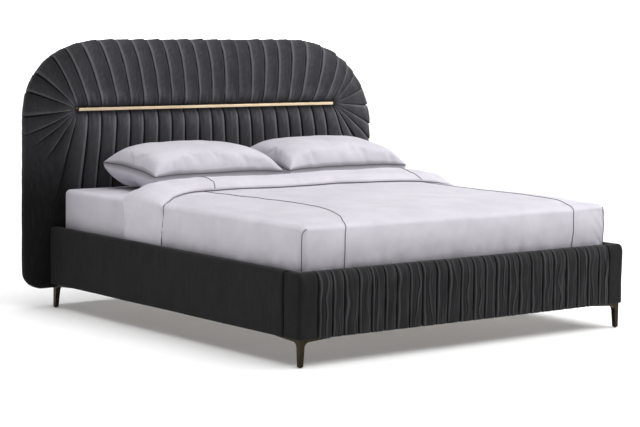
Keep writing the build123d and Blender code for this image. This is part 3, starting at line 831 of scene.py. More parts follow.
def make_foot_rail():
    cells = 24
    edges = np.linspace(-seam_end, seam_end, cells + 1)
    source = np.random.default_rng(31)
    edges[1:-1] += source.uniform(-0.006, 0.006, cells - 1)
    across = np.concatenate([(0, 0.02, 0.045, 0.075, 0.11), np.linspace(0.14, 0.86, 22),
                             (0.90, 0.94, 0.965, 0.985)])
    cell = np.repeat(np.arange(cells), len(across))
    c = np.tile(across, cells)
    x = edges[cell] + (edges[cell + 1] - edges[cell]) * c
    x, cell, c = np.append(x, seam_end), np.append(cell, cells - 1), np.append(c, 0.9999)
    outer = np.stack([x, np.full_like(x, foot_y)], -1)
    inner = np.stack([x, np.full_like(x, foot_hi.y)], -1)
    second = source.uniform(0.36, 0.62, cells)
    second_deep = source.uniform(0.2, 1.0, cells)
    third = source.uniform(0.16, 0.30, cells)
    third_deep = source.uniform(0.0, 0.8, cells)
    depth = source.uniform(0.85, 1.15, cells)
    drift = wave_noise(17, 10, 0.10, 0.5)
    gather = wave_noise(19, 14, 0.03, 0.10)

    def offset(station, px, py, pz):
        i = station.astype(int)
        k = cell[i]
        f = c[i]
        up = (pz - rail_low) / (rail_high - rail_low)
        lean = 0.09 * drift(k * 0.37, pz * 0.8)
        g = np.clip(f + lean * np.sin(math.pi * f), 0, 1)
        crease = (1 - smooth(g, 0.0, 0.10)) + smooth(g, 0.95, 1.0)
        round_over = np.sin(math.pi * np.clip(g, 0, 1)) ** 0.6
        bend = second[k] + 0.09 * drift(k * 0.9, pz * 0.9)
        fade2 = second_deep[k] * (0.35 + 0.65 * smooth(np.sin(3.0 * up + k * 1.7), -0.8, 0.8))
        fold2 = np.exp(-((g - bend) / 0.030) ** 2) * fade2
        ridge2 = np.exp(-((g - bend - 0.085) / 0.055) ** 2) * fade2
        fade3 = third_deep[k] * smooth(np.cos(2.3 * up + k * 2.9), -0.7, 0.7)
        fold3 = np.exp(-((g - third[k] - 0.06 * up) / 0.03) ** 2) * fade3
        ridge1 = np.exp(-((g - 0.14) / 0.05) ** 2)
        sway = 0.10 * drift(k * 1.7 + 4, pz * 0.9)
        ridge3 = np.exp(-((g - 0.78 - sway) / 0.045) ** 2) * third_deep[::-1][k]
        top = smooth(up, 0.72, 0.90)
        h = -0.0085 * depth[k] * crease + 0.0034 * round_over + 0.0024 * ridge1
        h = h - 0.0046 * fold2 + 0.0032 * ridge2 - 0.0034 * fold3 + 0.0024 * ridge3
        h = h + 0.0005 * gather(px * 1.6, pz * 0.5) - 0.0030
        end = np.minimum(px + seam_end, seam_end - px)
        h = h - 0.003 * np.exp(-end / 0.004)
        # painted shade in the creases and folds, painted highlight on the ridges and a lighter top
        tones = -1.25 * crease - 0.65 * fold2 - 0.5 * fold3 + 0.80 * ridge1 + 0.85 * ridge2 + 0.6 * ridge3
        tones = tones - 0.08 + 0.10 * gather(px * 1.1 + 2, pz * 0.3) + 0.10 * top
        return h, tones

    return make_rail("foot_rail_pleated", "foot_rail_cover", outer, inner, rail_low, rail_high,
                     lambda j: FOOT_ROUND, offset)


def make_corner(side):
    """Plain end of the foot rail, round the corner to the seam on the side."""
    radius = 0.020
    y_end = corner_hi.y
    outer, inner = [], []
    inner_corner = np.array([side_lo.x, foot_hi.y])
    for x in np.linspace(seam_end, side_x - radius, 26, endpoint=False):
        outer.append((x, foot_y))
        inner.append((min(x, inner_corner[0] - 1e-4), inner_corner[1]))
    for a in np.linspace(0, math.pi / 2, 12, endpoint=False):
        outer.append((side_x - radius + radius * math.sin(a), foot_y + radius * (1 - math.cos(a))))
        inner.append(tuple(inner_corner))
    for y in np.linspace(foot_y + radius, y_end - 0.0002, 26):
        outer.append((side_x, y))
        inner.append((inner_corner[0], max(y, inner_corner[1])))
    outer, inner = np.array(outer), np.array(inner)
    share = smooth(np.arange(len(outer)), 22, 42)
    along = np.concatenate([[0], np.cumsum(np.linalg.norm(np.diff(outer, axis=0), axis=1))])

    def rounding(j):
        s = float(share[j])
        return tuple(a * (1 - s) + b * s for a, b in zip(FOOT_ROUND, SIDE_ROUND))

    def offset(station, px, py, pz):
        s = along[station.astype(int)]
        end = along[-1] - s
        h = plan_wrinkle(px * side, py, pz) - 0.0045 * np.exp(-end / 0.0035) - 0.004 * np.exp(-s / 0.004)
        h = h - 0.0020 * (1 - share[station.astype(int)])
        # painted shade: darker in the seam grooves at both ends, and the whole corner darker
        tones = -1.3 * np.exp(-end / 0.005) - 0.8 * np.exp(-s / 0.003) - 0.30
        return h, tones

    outer[:, 0] *= side
    inner[:, 0] *= side
    name = "right" if side > 0 else "left"
    return make_rail("foot_corner_" + name, "foot_corner_cover_" + name, outer, inner, rail_low, rail_high,
                     rounding, offset)


def make_side_rail(side):
    y = np.linspace(side_lo.y + 0.0002, side_hi.y, 190)
    outer = np.stack([np.full_like(y, side_x * side), y], -1)
    inner = np.stack([np.full_like(y, side_lo.x * side), y], -1)

    def offset(station, px, py, pz):
        up = (pz - rail_low) / (rail_high - rail_low)
        end = np.minimum(py - y[0], y[-1] - py + 0.002)
        belly = 0.0012 * np.sin(math.pi * np.clip(up, 0, 1))
        h = plan_wrinkle(px * side, py, pz) + belly - 0.0045 * np.exp(-end / 0.0035)
        # painted shade: darker in the seam grooves at the ends, and the whole side darker, more towards the
        # head
        tones = -1.3 * np.exp(-end / 0.005) - 0.22 - 0.22 * smooth(py, -0.6, 0.7)
        return h, tones

    name = "right" if side > 0 else "left"
    return make_rail("side_rail_" + name, "side_rail_cover_" + name, outer, inner, rail_low, rail_high,
                     lambda j: SIDE_ROUND, offset)


# ------------------------------------------------------------------ bedding
def edge_path(half, y_front, y_back, radius, step=0.012, closed=False):
    """Plan path round a bed: left side from the back, foot, right side; the back too if closed."""
    runs = []

    def line(x0, y0, x1, y1):
        n = max(2, int(math.hypot(x1 - x0, y1 - y0) / step))
        t = np.linspace(0, 1, n, endpoint=False)
        runs.append(np.stack([x0 + (x1 - x0) * t, y0 + (y1 - y0) * t], -1))

    def arc(cx, cy, start):
        a = np.radians(start) + np.linspace(0, math.pi / 2, 9, endpoint=False)
        runs.append(np.stack([cx + radius * np.cos(a), cy + radius * np.sin(a)], -1))

    back = y_back - radius if closed else y_back
    line(-half, back, -half, y_front + radius)
    arc(-half + radius, y_front + radius, 180)
    line(-half + radius, y_front, half - radius, y_front)
    arc(half - radius, y_front + radius, 270)
    line(half, y_front + radius, half, back)
    if closed:
        arc(half - radius, y_back - radius, 0)
        line(half - radius, y_back, -half + radius, y_back)
        arc(-half + radius, y_back - radius, 90)
    else:
        runs.append(np.array([[half, y_back]]))
    return np.concatenate(runs)


def path_normals(path, closed):
    along = np.roll(path, -1, 0) - np.roll(path, 1, 0) if closed else np.gradient(path, axis=0)
    along /= np.maximum(np.linalg.norm(along, axis=1, keepdims=True), 1e-12)
    return np.stack([along[:, 1], -along[:, 0]], -1) * 1.0


def draped_shell(path, normals, z_low, z_top, edge, spine, top_rows=60, side_rows=22):
    """Rows from the hem up the sides, over the rounded edge and in to the spine."""
    rows = []
    for z in np.linspace(z_low, z_top - edge, side_rows, endpoint=False):
        rows.append(np.stack([path[:, 0], path[:, 1], np.full(len(path), z)], -1))
    for a in np.linspace(0, math.pi / 2, 10, endpoint=False):
        shift = edge * (1 - math.cos(a))
        rows.append(np.stack([path[:, 0] - normals[:, 0] * shift, path[:, 1] - normals[:, 1] * shift,
                              np.full(len(path), z_top - edge + edge * math.sin(a))], -1))
    start = path - normals * edge
    for t in np.linspace(0, 1, top_rows):
        xy = start + (spine - start) * t
        rows.append(np.stack([xy[:, 0], xy[:, 1], np.full(len(path), z_top)], -1))
    return np.array(rows)


HEM_Z = duvet_lo.z + 0.004
DUVET_EDGE = 0.036
duvet_half = duvet_hi.x - 0.001
duvet_front = duvet_lo.y + 0.001
fold_y = duvet_hi.y - 0.006
duvet_flat_top = mattress_hi.z + 0.016

bed_long = wave_noise(41, 10, 0.5, 1.1)
bed_mid = wave_noise(42, 14, 0.16, 0.40)
bed_short = wave_noise(43, 16, 0.05, 0.11)
bed_tuck = wave_noise(44, 16, 0.045, 0.12)


def duvet_top(x, y):
    """Height of the duvet's upper side over the mattress."""
    sharp = 16.0
    inside = -np.log(np.exp(-sharp * (duvet_half - np.abs(x))) + np.exp(-sharp * (y - duvet_front))) / sharp
    crown = 0.013 * smooth(inside, 0.0, 0.30) - 0.012 * (1 - smooth(inside, 0.02, 0.11))
    ripple = (0.0022 * bed_long(x, y * 0.7) + 0.0009 * bed_mid(x * 0.75 + 0.2 * y, y)
              + 0.0003 * bed_short(x, y * 0.6))
    return crown + ripple * smooth(inside, 0.0, 0.12)


def make_duvet():
    path = edge_path(duvet_half, duvet_front, fold_y, 0.040)
    normals = -path_normals(path, False)
    if normals[10, 0] > 0:
        normals = -normals
    spine_low, spine_high = duvet_front + 0.75, fold_y
    spine = np.stack([np.zeros(len(path)), np.clip(path[:, 1], spine_low, spine_high)], -1)
    grid = draped_shell(path, normals, HEM_Z, duvet_flat_top, DUVET_EDGE, spine, top_rows=72)
    x, y, z = grid[..., 0], grid[..., 1], grid[..., 2]
    side = smooth(duvet_flat_top - z, 0.0, 0.05)
    top = 1 - smooth(duvet_flat_top - z, 0.0, 0.03)
    lift = duvet_top(x, y) * np.maximum(top, 1 - side)
    run = np.concatenate([[0], np.cumsum(np.linalg.norm(np.diff(path, axis=0), axis=1))])[None]
    low = 1 - smooth(z, HEM_Z + 0.03, HEM_Z + 0.13)
    tuck = -0.0045 * low + 0.0022 * bed_tuck(run + 0 * z, z * 0.35) * low
    billow = 0.0030 * np.sin(math.pi * np.clip((z - HEM_Z) / 0.22, 0, 1)) + 0.0018 * bed_mid(run + 0 * z, z)
    billow = billow + 0.0007 * bed_short(run * 0.7 + 0 * z, z) - 0.0020
    corner_run = 2 * [0.0]
    for k, sign in enumerate((-1, 1)):
        corner_run[k] = run[0, int(np.argmin(np.hypot(path[:, 0] - sign * duvet_half,
                                                      path[:, 1] - duvet_front)))]
    flap = 0
    for k, sign in enumerate((-1, 1)):
        s = (run - corner_run[k]) * -sign
        step = smooth(s, 0.002, 0.006) * (1 - smooth(s, 0.03, 0.15))
        diagonal = np.sin((s * 0.75 - (z - HEM_Z) * 0.65) * 2 * math.pi / 0.042)
        near = smooth(s, 0.004, 0.02) * (1 - smooth(s, 0.05, 0.10))
        flap = flap - 0.0065 * step + 0.0016 * diagonal * near
    out = (tuck + billow + flap * side) * side
    grid[..., 0] += normals[None, :, 0] * out
    grid[..., 1] += normals[None, :, 1] * out
    grid[..., 2] += lift
    # painted shade: darker down the duvet's sides, most on the foot face
    down = smooth(duvet_flat_top - grid[..., 2], -0.01, 0.16)
    faces_foot = np.clip(-normals[:, 1], 0, 1)[None]
    tone = -down * (0.10 + 0.32 * faces_foot)
    faces = grid_faces(len(grid), grid.shape[1])
    obj = mesh_piece("duvet_cover", grid.reshape(-1, 3), faces, MATERIALS["bed_linen"], tone)
    weld(obj)
    orient(obj)
    skin = surface_tree(obj)
    thick = obj.modifiers.new("thickness", "SOLIDIFY")
    thick.thickness = 0.006
    thick.offset = -1
    apply_modifiers(obj)
    obj.data.polygons.foreach_set("use_smooth", [True] * len(obj.data.polygons))
    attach(obj, "duvet")
    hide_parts("duvet")
    return skin


def weld(obj):
    """Join the points that lie on one another."""
    bm = bmesh.new()
    bm.from_mesh(obj.data)
    bmesh.ops.remove_doubles(bm, verts=bm.verts, dist=1e-5)
    bm.to_mesh(obj.data)
    bm.free()


def orient(obj):
    """Turn an open shell's faces so that its highest ones look up."""
    mesh = obj.data
    count = len(mesh.polygons)
    normals = np.zeros(count * 3)
    mesh.polygons.foreach_get("normal", normals)
    areas = np.zeros(count)
    mesh.polygons.foreach_get("area", areas)
    if (normals.reshape(-1, 3)[:, 2] * areas).sum() < 0:
        mesh.flip_normals()
    mesh.update()


FREE_EDGE = through([(-1.13, 0.066), (-0.98, 0.050), (-0.90, 0.062), (-0.80, 0.137),
                     (-0.69, 0.215), (-0.58, 0.250),
                     (-0.45, 0.256), (-0.02, 0.240), (0.40, 0.205), (0.75, 0.150),
                     (0.90, 0.120), (0.98, 0.070),
                     (1.13, 0.060)])


def make_band():
    """The duvet's head end, turned back on itself."""
    half, top, edge = duvet_half - 0.0005, duvet_flat_top, DUVET_EDGE
    z_low = HEM_Z + 0.002
    runs = []
    for z in np.linspace(z_low, top - edge, 22, endpoint=False):
        runs.append((-half, z, -1.0, 0.0))
    for a in np.linspace(0, math.pi / 2, 14, endpoint=False):
        runs.append((-half + edge * (1 - math.cos(a)), top - edge + edge * math.sin(a),
                     -math.cos(a), math.sin(a)))
    for x in np.linspace(-half + edge, 0, 90, endpoint=False):
        runs.append((x, top, 0.0, 1.0))
    left = np.array(runs)
    right = left[::-1] * np.array([-1, 1, -1, 1])
    sweep = np.concatenate([left, [[0, top, 0, 1]], right])
    along = np.concatenate([[0], np.cumsum(np.hypot(np.diff(sweep[:, 0]), np.diff(sweep[:, 1])))])
    along = along - along[-1] / 2
    free = FREE_EDGE(along) + 0.004 * bed_mid(along, 0.3)
    fold = fold_y + 0.006 - 0.004 * smooth(np.abs(along), 0.7, 0.95) + 0.003 * bed_mid(along, 0.8)
    ends = smooth(sweep[:, 1], top - 0.10, top - 0.004)
    edge_share = smooth(np.abs(along), 0.70, 0.93)
    v = np.concatenate([np.linspace(0, 0.10, 8, endpoint=False), np.linspace(0.10, 0.9, 34, endpoint=False),
                        1 - 0.1 * (1 - np.linspace(0, 1, 9)) ** 1.6])
    lip = np.sqrt(np.clip(1 - (1 - np.clip(v / 0.035, 0, 1)) ** 2, 0, 1))
    rise = 0.66 * smooth(v, -0.08, 0.26) + 0.34 * smooth(v, 0.15, 0.70)
    rise_edge = 0.75 * smooth(v, -0.1, 0.40) + 0.25 * smooth(v, 0.2, 0.55)
    close = np.sqrt(np.clip(1 - np.clip((v - 0.72) / 0.28, 0, 1) ** 2, 0, 1))
    close_edge = np.sqrt(np.clip(1 - np.clip((v - 0.34) / 0.66, 0, 1) ** 2, 0, 1))
    shape = ((rise * close)[:, None] * (1 - edge_share)[None]
             + (rise_edge * close_edge)[:, None] * edge_share[None])
    y = free[None] + (fold - free)[None] * v[:, None]
    base_x = sweep[None, :, 0] + 0 * y
    under = duvet_top(base_x, np.minimum(y, fold_y)) * smooth(sweep[None, :, 1], top - 0.03, top)
    puff = (0.010 * (0.3 + 0.7 * ends[None]) * lip[:, None] * close[:, None]
            + (0.006 + 0.041 * ends[None]) * shape)
    crumple = (0.0013 * bed_mid(along[None] * 0.8 + 3, y)
               + 0.0006 * bed_short(along[None] * 0.8, y) * lip[:, None])
    puff = puff + crumple * np.minimum(1, shape * 2)
    upper = np.stack([sweep[None, :, 0] + sweep[None, :, 2] * puff, y,
                      sweep[None, :, 1] + sweep[None, :, 3] * puff + under], -1)
    thin = 0.0006
    lower = np.stack([sweep[None, :, 0] + sweep[None, :, 2] * thin + 0 * y, y,
                      sweep[None, :, 1] + sweep[None, :, 3] * thin + under], -1)[::-1]
    grid = np.concatenate([upper, lower[1:-1]])
    rows, cols = grid.shape[:2]
    faces = grid_faces(rows, cols, wrap_rows=True)
    faces.append([i * cols for i in range(rows)])
    faces.append([i * cols + cols - 1 for i in range(rows)][::-1])
    obj = mesh_piece("duvet_turned_back", grid.reshape(-1, 3), faces, MATERIALS["bed_linen"])
    face_outward(obj)
    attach(obj, "duvet")
    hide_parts("duvet")
    return surface_tree(obj), upper[0], upper


def surface_tree(obj):
    """The object's faces now, ready for finding the nearest place on them."""
    mesh = obj.data
    return BVHTree.FromPolygons([v.co[:] for v in mesh.vertices], [p.vertices[:] for p in mesh.polygons])


def snapped(tree, points, lift):
    """The points moved onto a surface, standing off by lift."""
    out = []
    for p in points:
        place, normal, _, _ = tree.find_nearest(Vector(p))
        out.append(tuple(place + normal * lift))
    return np.array(out)


def resample(points, step):
    p = np.asarray(points, float)
    s = np.concatenate([[0], np.cumsum(np.linalg.norm(np.diff(p, axis=0), axis=1))])
    n = max(4, int(s[-1] / step))
    t = np.linspace(0, s[-1], n)
    return np.stack([np.interp(t, s, p[:, k]) for k in range(3)], -1)


def rounded_line(points, step=0.006, passes=60):
    """A path through the points with its corners eased."""
    p = resample(points, step)
    for _ in range(passes):
        p[1:-1] = 0.5 * p[1:-1] + 0.25 * (p[:-2] + p[2:])
    return p


PIPE = 0.0019


def add_piping(name, host, points, body, ease=60, lift=0.0008):
    line = resample(snapped(host, rounded_line(points, passes=ease), lift), 0.006)
    for _ in range(12):
        line[1:-1] = 0.5 * line[1:-1] + 0.25 * (line[:-2] + line[2:])
    line = snapped(host, line, lift)
    obj = tube(name, line, PIPE, MATERIALS["piping"], sides=6)
    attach(obj, body)
    return obj


def make_duvet_piping(cover, band, band_edge, band_grid):
    z = duvet_flat_top
    for name, side in (("left", -1), ("right", 1)):
        x0 = -0.55 if side < 0 else -0.70
        top = [(x0, 0.27), (-0.51, -0.10), (-0.50, -0.40), (-0.55, -0.68),
               (-0.62, -0.86), (-0.66, duvet_front + 0.06),
               (-0.675, duvet_front + 0.02)]
        if side > 0:
            top = [(-0.74, 0.20), (-0.73, -0.10), (-0.72, -0.45), (-0.71, -0.75),
                   (-0.70, duvet_front + 0.06),
                   (-0.695, duvet_front + 0.02)]
        line = [(x * -side if side > 0 else x, y, z + 0.004) for x, y in top]
        face_x = 0.69 * side
        line += [(face_x, duvet_front - 0.002, z - 0.04), (face_x, duvet_front - 0.002, z - 0.12),
                 (face_x * 0.995, duvet_front, HEM_Z + 0.02)]
        add_piping("duvet_line_" + name, cover, line, "duvet")
        cx, cy = side * (duvet_half + 0.001), duvet_front - 0.001
        fold = [(cx - side * 0.004, cy, HEM_Z + 0.02), (cx - side * 0.004, cy, z - 0.12),
                (cx - side * 0.004, cy, z - 0.035),
                (cx - side * 0.012, cy, z - 0.022), (cx - side * 0.026, cy + 0.001, z - 0.020)]
        add_piping("duvet_corner_edge_" + name, cover, fold, "duvet", ease=8, lift=0.0008)
    add_piping("band_edge_piping", band, band_edge, "duvet", ease=45)
    for name, x in (("left", -0.488), ("right", 0.74)):
        j = int(np.argmin(np.abs(band_grid[20, :, 0] - x)))
        sway = through([(0, 0.0), (12, -0.012 * np.sign(x)),
                        (30, -0.006 * np.sign(x)), (50, 0.03 * np.sign(x))])
        line = []
        for i in range(1, len(band_grid) - 3):
            k = int(np.argmin(np.abs(band_grid[i, :, 0] - x - float(sway(i)))))
            line.append(band_grid[i, k])
        add_piping("band_line_" + name, band, line, "duvet", ease=30)


def make_mattress():
    """The mattress under its sheet: quilted top, taped edges."""
    inset = 0.004
    half = mattress_hi.x - inset
    path = edge_path(half, mattress_lo.y + inset, mattress_hi.y - inset, 0.028, step=0.02, closed=True)
    normals = path_normals(path, True)
    centre = np.array([0, (mattress_lo.y + mattress_hi.y) / 2])
    if normals[5] @ (path[5] - centre) < 0:
        normals = -normals
    low, high = mattress_lo.z + 0.001, mattress_hi.z - inset
    rows = []
    spine = np.stack([np.zeros(len(path)),
                      np.clip(path[:, 1], mattress_lo.y + 0.8, mattress_hi.y - 0.8)], -1)
    edge = 0.020
    start = path - normals * edge
    for t in np.linspace(1, 0, 14, endpoint=False):
        xy = start + (spine - start) * t
        rows.append(np.stack([xy[:, 0], xy[:, 1], np.full(len(path), low)], -1))
    for a in np.linspace(0, math.pi / 2, 6, endpoint=False):
        shift = edge * (1 - math.sin(a))
        rows.append(np.stack([path[:, 0] - normals[:, 0] * shift, path[:, 1] - normals[:, 1] * shift,
                              np.full(len(path), low + edge * (1 - math.cos(a)))], -1))
    upper = draped_shell(path, normals, low + edge, high, edge, spine, top_rows=40, side_rows=12)
    grid = np.concatenate([np.array(rows), upper])
    z = grid[..., 2]
    seams = (np.exp(-((z - low - edge - 0.004) / 0.004) ** 2)
             + np.exp(-((z - high + edge + 0.004) / 0.004) ** 2))
    bulge = 0.003 * np.sin(math.pi * np.clip((z - low) / (high - low), 0, 1)) - 0.003 * seams
    grid[..., 0] += normals[None, :, 0] * (bulge - 0.003)
    grid[..., 1] += normals[None, :, 1] * (bulge - 0.003)
    quilt = np.abs(np.sin(grid[..., 0] * math.pi / 0.11 + grid[..., 1] * math.pi / 0.11)
                   * np.sin(grid[..., 0] * math.pi / 0.11 - grid[..., 1] * math.pi / 0.11)) ** 0.5
    grid[..., 2] -= 0.004 * (1 - quilt) * smooth(z, high - 0.002, high)
    faces = grid_faces(len(grid), grid.shape[1], wrap_cols=True)
    cols = grid.shape[1]
    faces.append(list(range(cols)))
    faces.append([(len(grid) - 1) * cols + k for k in range(cols)][::-1])
    obj = mesh_piece("mattress_body", grid.reshape(-1, 3), faces, MATERIALS["mattress_ticking"])
    weld(obj)
    face_outward(obj)
    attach(obj, "mattress")
    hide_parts("mattress")
    return obj


def make_fitted_sheet():
    """Elasticated sheet over the top and sides of the mattress, bare at the head end."""
    half = mattress_hi.x - 0.0015
    path = edge_path(half, mattress_lo.y + 0.0015, mattress_hi.y - 0.0015, 0.030, closed=True)
    normals = path_normals(path, True)
    centre = np.array([0, (mattress_lo.y + mattress_hi.y) / 2])
    if normals[5] @ (path[5] - centre) < 0:
        normals = -normals
    spine = np.stack([np.zeros(len(path)),
                      np.clip(path[:, 1], mattress_lo.y + 0.8, mattress_hi.y - 0.8)], -1)
    low, high = mattress_lo.z + 0.012, mattress_hi.z - 0.0012
    grid = draped_shell(path, normals, low, high, 0.026, spine, top_rows=70, side_rows=20)
    x, y, z = grid[..., 0], grid[..., 1], grid[..., 2]
    run = np.concatenate([[0], np.cumsum(np.linalg.norm(np.diff(path, axis=0), axis=1))])[None]
    hem = 1 - smooth(z, low, low + 0.12)
    side = smooth(high - z, 0.0, 0.03)
    pull = 0.0009 * bed_tuck(run + 0 * z, z * 0.3) * (0.3 + hem) + 0.0008 * bed_mid(run + 0 * z, z) - 0.0008
    grid[..., 0] += normals[None, :, 0] * pull * side
    grid[..., 1] += normals[None, :, 1] * pull * side
    inside = np.minimum(half - np.abs(x), np.minimum(mattress_hi.y - y, y - mattress_lo.y))
    grid[..., 2] += 0.0010 * (bed_mid(x * 1.3, y) - 1.0) * smooth(inside, 0, 0.1) * (1 - side)
    faces = grid_faces(len(grid), grid.shape[1], wrap_cols=True)
    # painted shade on the sheet's sides
    obj = mesh_piece("fitted_sheet", grid.reshape(-1, 3), faces, MATERIALS["bed_linen"], -0.18 * side)
    weld(obj)
    orient(obj)
    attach(obj, "mattress")
    return obj


# ------------------------------------------------------------------ pillows
def pillow_plan(a, b, hx, hy):
    """Plan place of (a, b) from -1 to 1: sides drawn in between pointed corners."""
    x = hx * a * (1 - 0.055 * (1 - b ** 2) * np.abs(a) ** 3)
    y = hy * b * (1 - 0.075 * (1 - a ** 2) * np.abs(b) ** 3)
    return x, y


def make_pillow(side, seed):
    name = "left" if side < 0 else "right"
    lo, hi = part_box("pillow_" + name)
    hx, hy = (hi.x - lo.x) / 2 - 0.004, (hi.y - lo.y) / 2 - 0.006
    cx, cy = (hi.x + lo.x) / 2, (hi.y + lo.y) / 2
    n, m = 84, 56
    a = np.sin(np.linspace(-1, 1, n) * math.pi / 2) * 0.35 + np.linspace(-1, 1, n) * 0.65
    b = np.sin(np.linspace(-1, 1, m) * math.pi / 2) * 0.35 + np.linspace(-1, 1, m) * 0.65
    grid_a, grid_b = np.meshgrid(a, b, indexing="ij")
    x, y = pillow_plan(grid_a, grid_b, hx, hy)
    full = np.clip(1 - np.abs(grid_a) ** 3.6, 0, 1) ** 0.5 * np.clip(1 - np.abs(grid_b) ** 2.5, 0, 1) ** 0.5
    noise = wave_noise(seed, 12, 0.14, 0.4)
    crease = wave_noise(seed + 1, 14, 0.05, 0.12)
    rim = (1 - smooth(full, 0.10, 0.65))
    boxy = np.clip(1 - np.abs(grid_a) ** 9, 0, 1) ** 0.5 * np.clip(1 - np.abs(grid_b) ** 5, 0, 1) ** 0.5
    upper = (full * 0.120 * (1 + 0.02 * noise(x, y))
             + 0.0020 * crease(x, y * 0.4) * np.minimum(1, full * 5) * (0.3 + rim))
    lower = -boxy * 0.108 * (1 + 0.05 * noise(x + 2, y))
    seam = 0.094 + 0.050 * (y + hy) / (2 * hy) - 0.004 * np.abs(grid_a) ** 3
    top = np.stack([x, y, seam + upper], -1)
    wide_x = x * (1 + 0.16 * boxy * np.abs(grid_a) ** 8)
    wide_y = y * (1 + 0.14 * boxy * np.abs(grid_b) ** 8)
    bottom = np.stack([wide_x, wide_y, seam + lower], -1)
    points = np.concatenate([top.reshape(-1, 3), bottom.reshape(-1, 3)])
    index_top = np.arange(n * m).reshape(n, m)
    index_bottom = index_top + n * m
    border = np.zeros((n, m), bool)
    border[0], border[-1], border[:, 0], border[:, -1] = True, True, True, True
    index_bottom = np.where(border, index_top, index_bottom)
    faces = []
    for i in range(n - 1):
        for j in range(m - 1):
            faces.append((index_top[i, j], index_top[i + 1, j],
                          index_top[i + 1, j + 1], index_top[i, j + 1]))
            faces.append((index_bottom[i, j], index_bottom[i, j + 1],
                          index_bottom[i + 1, j + 1], index_bottom[i + 1, j]))
    # tone -1 marks the seam for seam_loop, and the linen paints it as shade along the seam
    tone = np.concatenate([-border.ravel().astype(float), np.zeros(n * m)])
    obj = mesh_piece("pillow_" + name + "_case", points, faces, MATERIALS["pillow_linen"], tone)
    bm = bmesh.new()
    bm.from_mesh(obj.data)
    bmesh.ops.delete(bm, geom=[v for v in bm.verts if not v.link_faces], context="VERTS")
    bm.to_mesh(obj.data)
    bm.free()
    puff_up(obj, 0.018)
    rest_on(obj, lo.z, hi.z + 0.012)
    obj.data.transform(Matrix.Translation((cx, cy, 0)))
    finish = obj.modifiers.new("fine", "SUBSURF")
    finish.levels = 1
    finish.render_levels = 1
    apply_modifiers(obj)
    face_outward(obj)
    obj.data.polygons.foreach_set("use_smooth", [True] * len(obj.data.polygons))
    body = "pillow_" + name
    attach(obj, body)
    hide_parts(body)
    seam = tube("pillow_" + name + "_piping", seam_loop(obj), PIPE, MATERIALS["piping"],
                closed=True, sides=6)
    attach(seam, body)
    return obj


def seam_loop(obj):
    """The pillow's seam, as points in order round it."""
    mesh = obj.data
    tones = np.zeros(len(mesh.vertices))
    mesh.attributes["tone"].data.foreach_get("value", tones)
    places = np.zeros(len(mesh.vertices) * 3)
    mesh.vertices.foreach_get("co", places)
    p = places.reshape(-1, 3)[tones < -0.9]
    middle = p.mean(0)
    order = np.argsort(np.arctan2((p[:, 1] - middle[1]) * 1.7, p[:, 0] - middle[0]))
    p = p[order]
    for _ in range(2):
        p = 0.5 * p + 0.25 * (np.roll(p, 1, 0) + np.roll(p, -1, 0))
    return p


def puff_up(obj, cap):
    """Cloth with air pressure inside, its movement capped, then applied."""
    start = np.array([v.co[:] for v in obj.data.vertices])
    cloth = obj.modifiers.new("air", "CLOTH")
    settings = cloth.settings
    settings.quality = 6
    settings.mass = 0.25
    settings.use_pressure = True
    settings.uniform_pressure_force = 4.0
    settings.shrink_min = -0.03
    settings.tension_stiffness = 14
    settings.compression_stiffness = 14
    settings.bending_stiffness = 0.3
    settings.effector_weights.gravity = 0.0
    cloth.point_cache.frame_start = 1
    cloth.point_cache.frame_end = 20
    scene = bpy.context.scene
    for frame_number in range(1, 21):
        scene.frame_set(frame_number)
    apply_modifiers(obj)
    scene.frame_set(1)
    moved = np.array([v.co[:] for v in obj.data.vertices])
    step = moved - start
    length = np.linalg.norm(step, axis=1, keepdims=True)
    step = step * np.minimum(1, cap / np.maximum(length, 1e-9))
    obj.data.vertices.foreach_set("co", (start + step).ravel())
    obj.data.update()


def rest_on(obj, floor, ceiling):
    """Stand the piece on floor with its underside flattened there, and its crown under ceiling."""
    p = np.array([v.co[:] for v in obj.data.vertices])
    low = p[:, 2].min() + 0.016
    p[:, 2] = p[:, 2] - low + floor
    sunk = p[:, 2] < floor + 0.01
    p[sunk, 2] = floor + 0.01 * np.exp((p[sunk, 2] - floor - 0.01) / 0.01)
    over = p[:, 2].max()
    if over > ceiling:
        p[:, 2] = floor + (p[:, 2] - floor) * (ceiling - floor) / (over - floor)
    obj.data.vertices.foreach_set("co", p.ravel())
    obj.data.update()


# ------------------------------------------------------------------ camera, floor and light
def make_camera():
    data = bpy.data.cameras.new("camera")
    data.sensor_width = 36.0
    data.lens = 112.2
    camera = bpy.data.objects.new("camera", data)
    yaw, pitch, roll = 0.6758, -0.1069, 0.0162
    camera.location = (-6.0355, foot_lo.y - 6.4291, 1.5323)
    turn = (Matrix.Rotation(-yaw, 3, "Z") @ Matrix.Rotation(math.pi / 2 + pitch, 3, "X")
            @ Matrix.Rotation(roll, 3, "Z"))
    camera.rotation_euler = turn.to_euler()
    bpy.context.scene.collection.objects.link(camera)
    bpy.context.scene.camera = camera


def area_light(name, place, aim, size, power, colour):
    data = bpy.data.lights.new(name, "AREA")
    data.shape = "RECTANGLE"
    data.size, data.size_y = size
    data.energy = power
    data.color = colour
    light = bpy.data.objects.new(name, data)
    light.location = place
    light.rotation_euler = (Vector(aim) - Vector(place)).to_track_quat("-Z", "Y").to_euler()
    light.visible_camera = False
    bpy.context.scene.collection.objects.link(light)


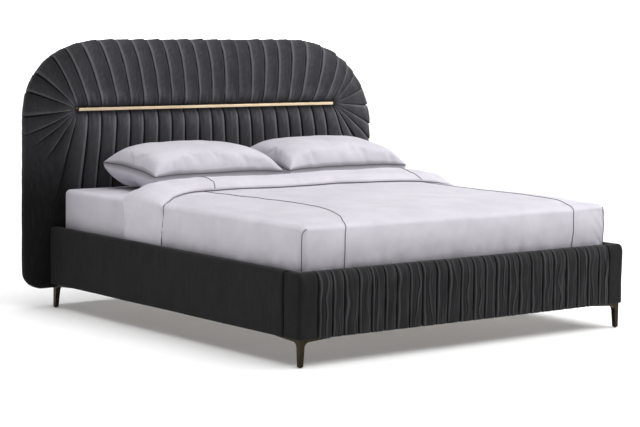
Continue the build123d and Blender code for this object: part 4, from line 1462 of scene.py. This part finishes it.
def make_studio():
    m = Nodes("studio_floor")
    speck = m.noise(3, 3, 0.5)
    m.feed(Base_Color=m.ramp(speck, [(0.3, (0.94, 0.94, 0.94)), (0.7, (0.96, 0.96, 0.96))]))
    m.set(Roughness=0.7, Specular_IOR_Level=0.1, Emission_Color=(1.0, 1.0, 1.0, 1.0), Emission_Strength=0.06)
    size = 40.0
    corners = [(-size, -size, 0), (size, -size, 0), (size, size, 0), (-size, size, 0)]
    floor = mesh_piece("studio_floor", corners, [(0, 1, 2, 3)], m.material, smooth_faces=False)
    w = Nodes("studio_backdrop")
    w.set(Base_Color=(1.0, 1.0, 1.0, 1.0), Emission_Color=(1.0, 1.0, 1.0, 1.0),
          Emission_Strength=1.0, Roughness=1.0)
    wall = [(-size, size, -1), (size, size, -1), (size, size, 12), (-size, size, 12)]
    end = [(size, -size, -1), (size, size, -1), (size, size, 12), (size, -size, 12)]
    back = mesh_piece("studio_backdrop", wall + end, [(0, 1, 2, 3), (4, 5, 6, 7)],
                      w.material, smooth_faces=False)
    world = bpy.data.worlds.new("studio")
    bpy.context.scene.world = world
    world.use_nodes = True
    world.node_tree.nodes["Background"].inputs["Color"].default_value = (1.0, 1.0, 1.0, 1.0)
    world.node_tree.nodes["Background"].inputs["Strength"].default_value = 0.36
    sun = bpy.data.lights.new("sky_window", "SUN")
    sun.energy = 2.72
    sun.angle = math.radians(75)
    sky = bpy.data.objects.new("sky_window", sun)
    sky.rotation_euler = Vector((-0.18, 0.17, -1.0)).to_track_quat("-Z", "Y").to_euler()
    bpy.context.scene.collection.objects.link(sky)
    area_light("headboard_wash", (2.7, -2.0, 1.9), (0.4, 1.0, 1.1), (1.2, 1.2), 30, (1.0, 1.0, 1.0))
    area_light("under_glow", (0, 0, 0.105), (0, 0, 0), (1.75, 1.9), 1.1, (0.84, 0.92, 1.0))
    bpy.context.scene.view_settings.view_transform = "Standard"


dress_frame()
make_headboard()
make_foot_rail()
for side in (-1, 1):
    make_corner(side)
    make_side_rail(side)
make_mattress()
make_fitted_sheet()
cover = make_duvet()
band, band_edge, band_grid = make_band()
make_duvet_piping(cover, band, band_edge, band_grid)
make_pillow(-1, 61)
make_pillow(1, 71)
make_camera()
make_studio()
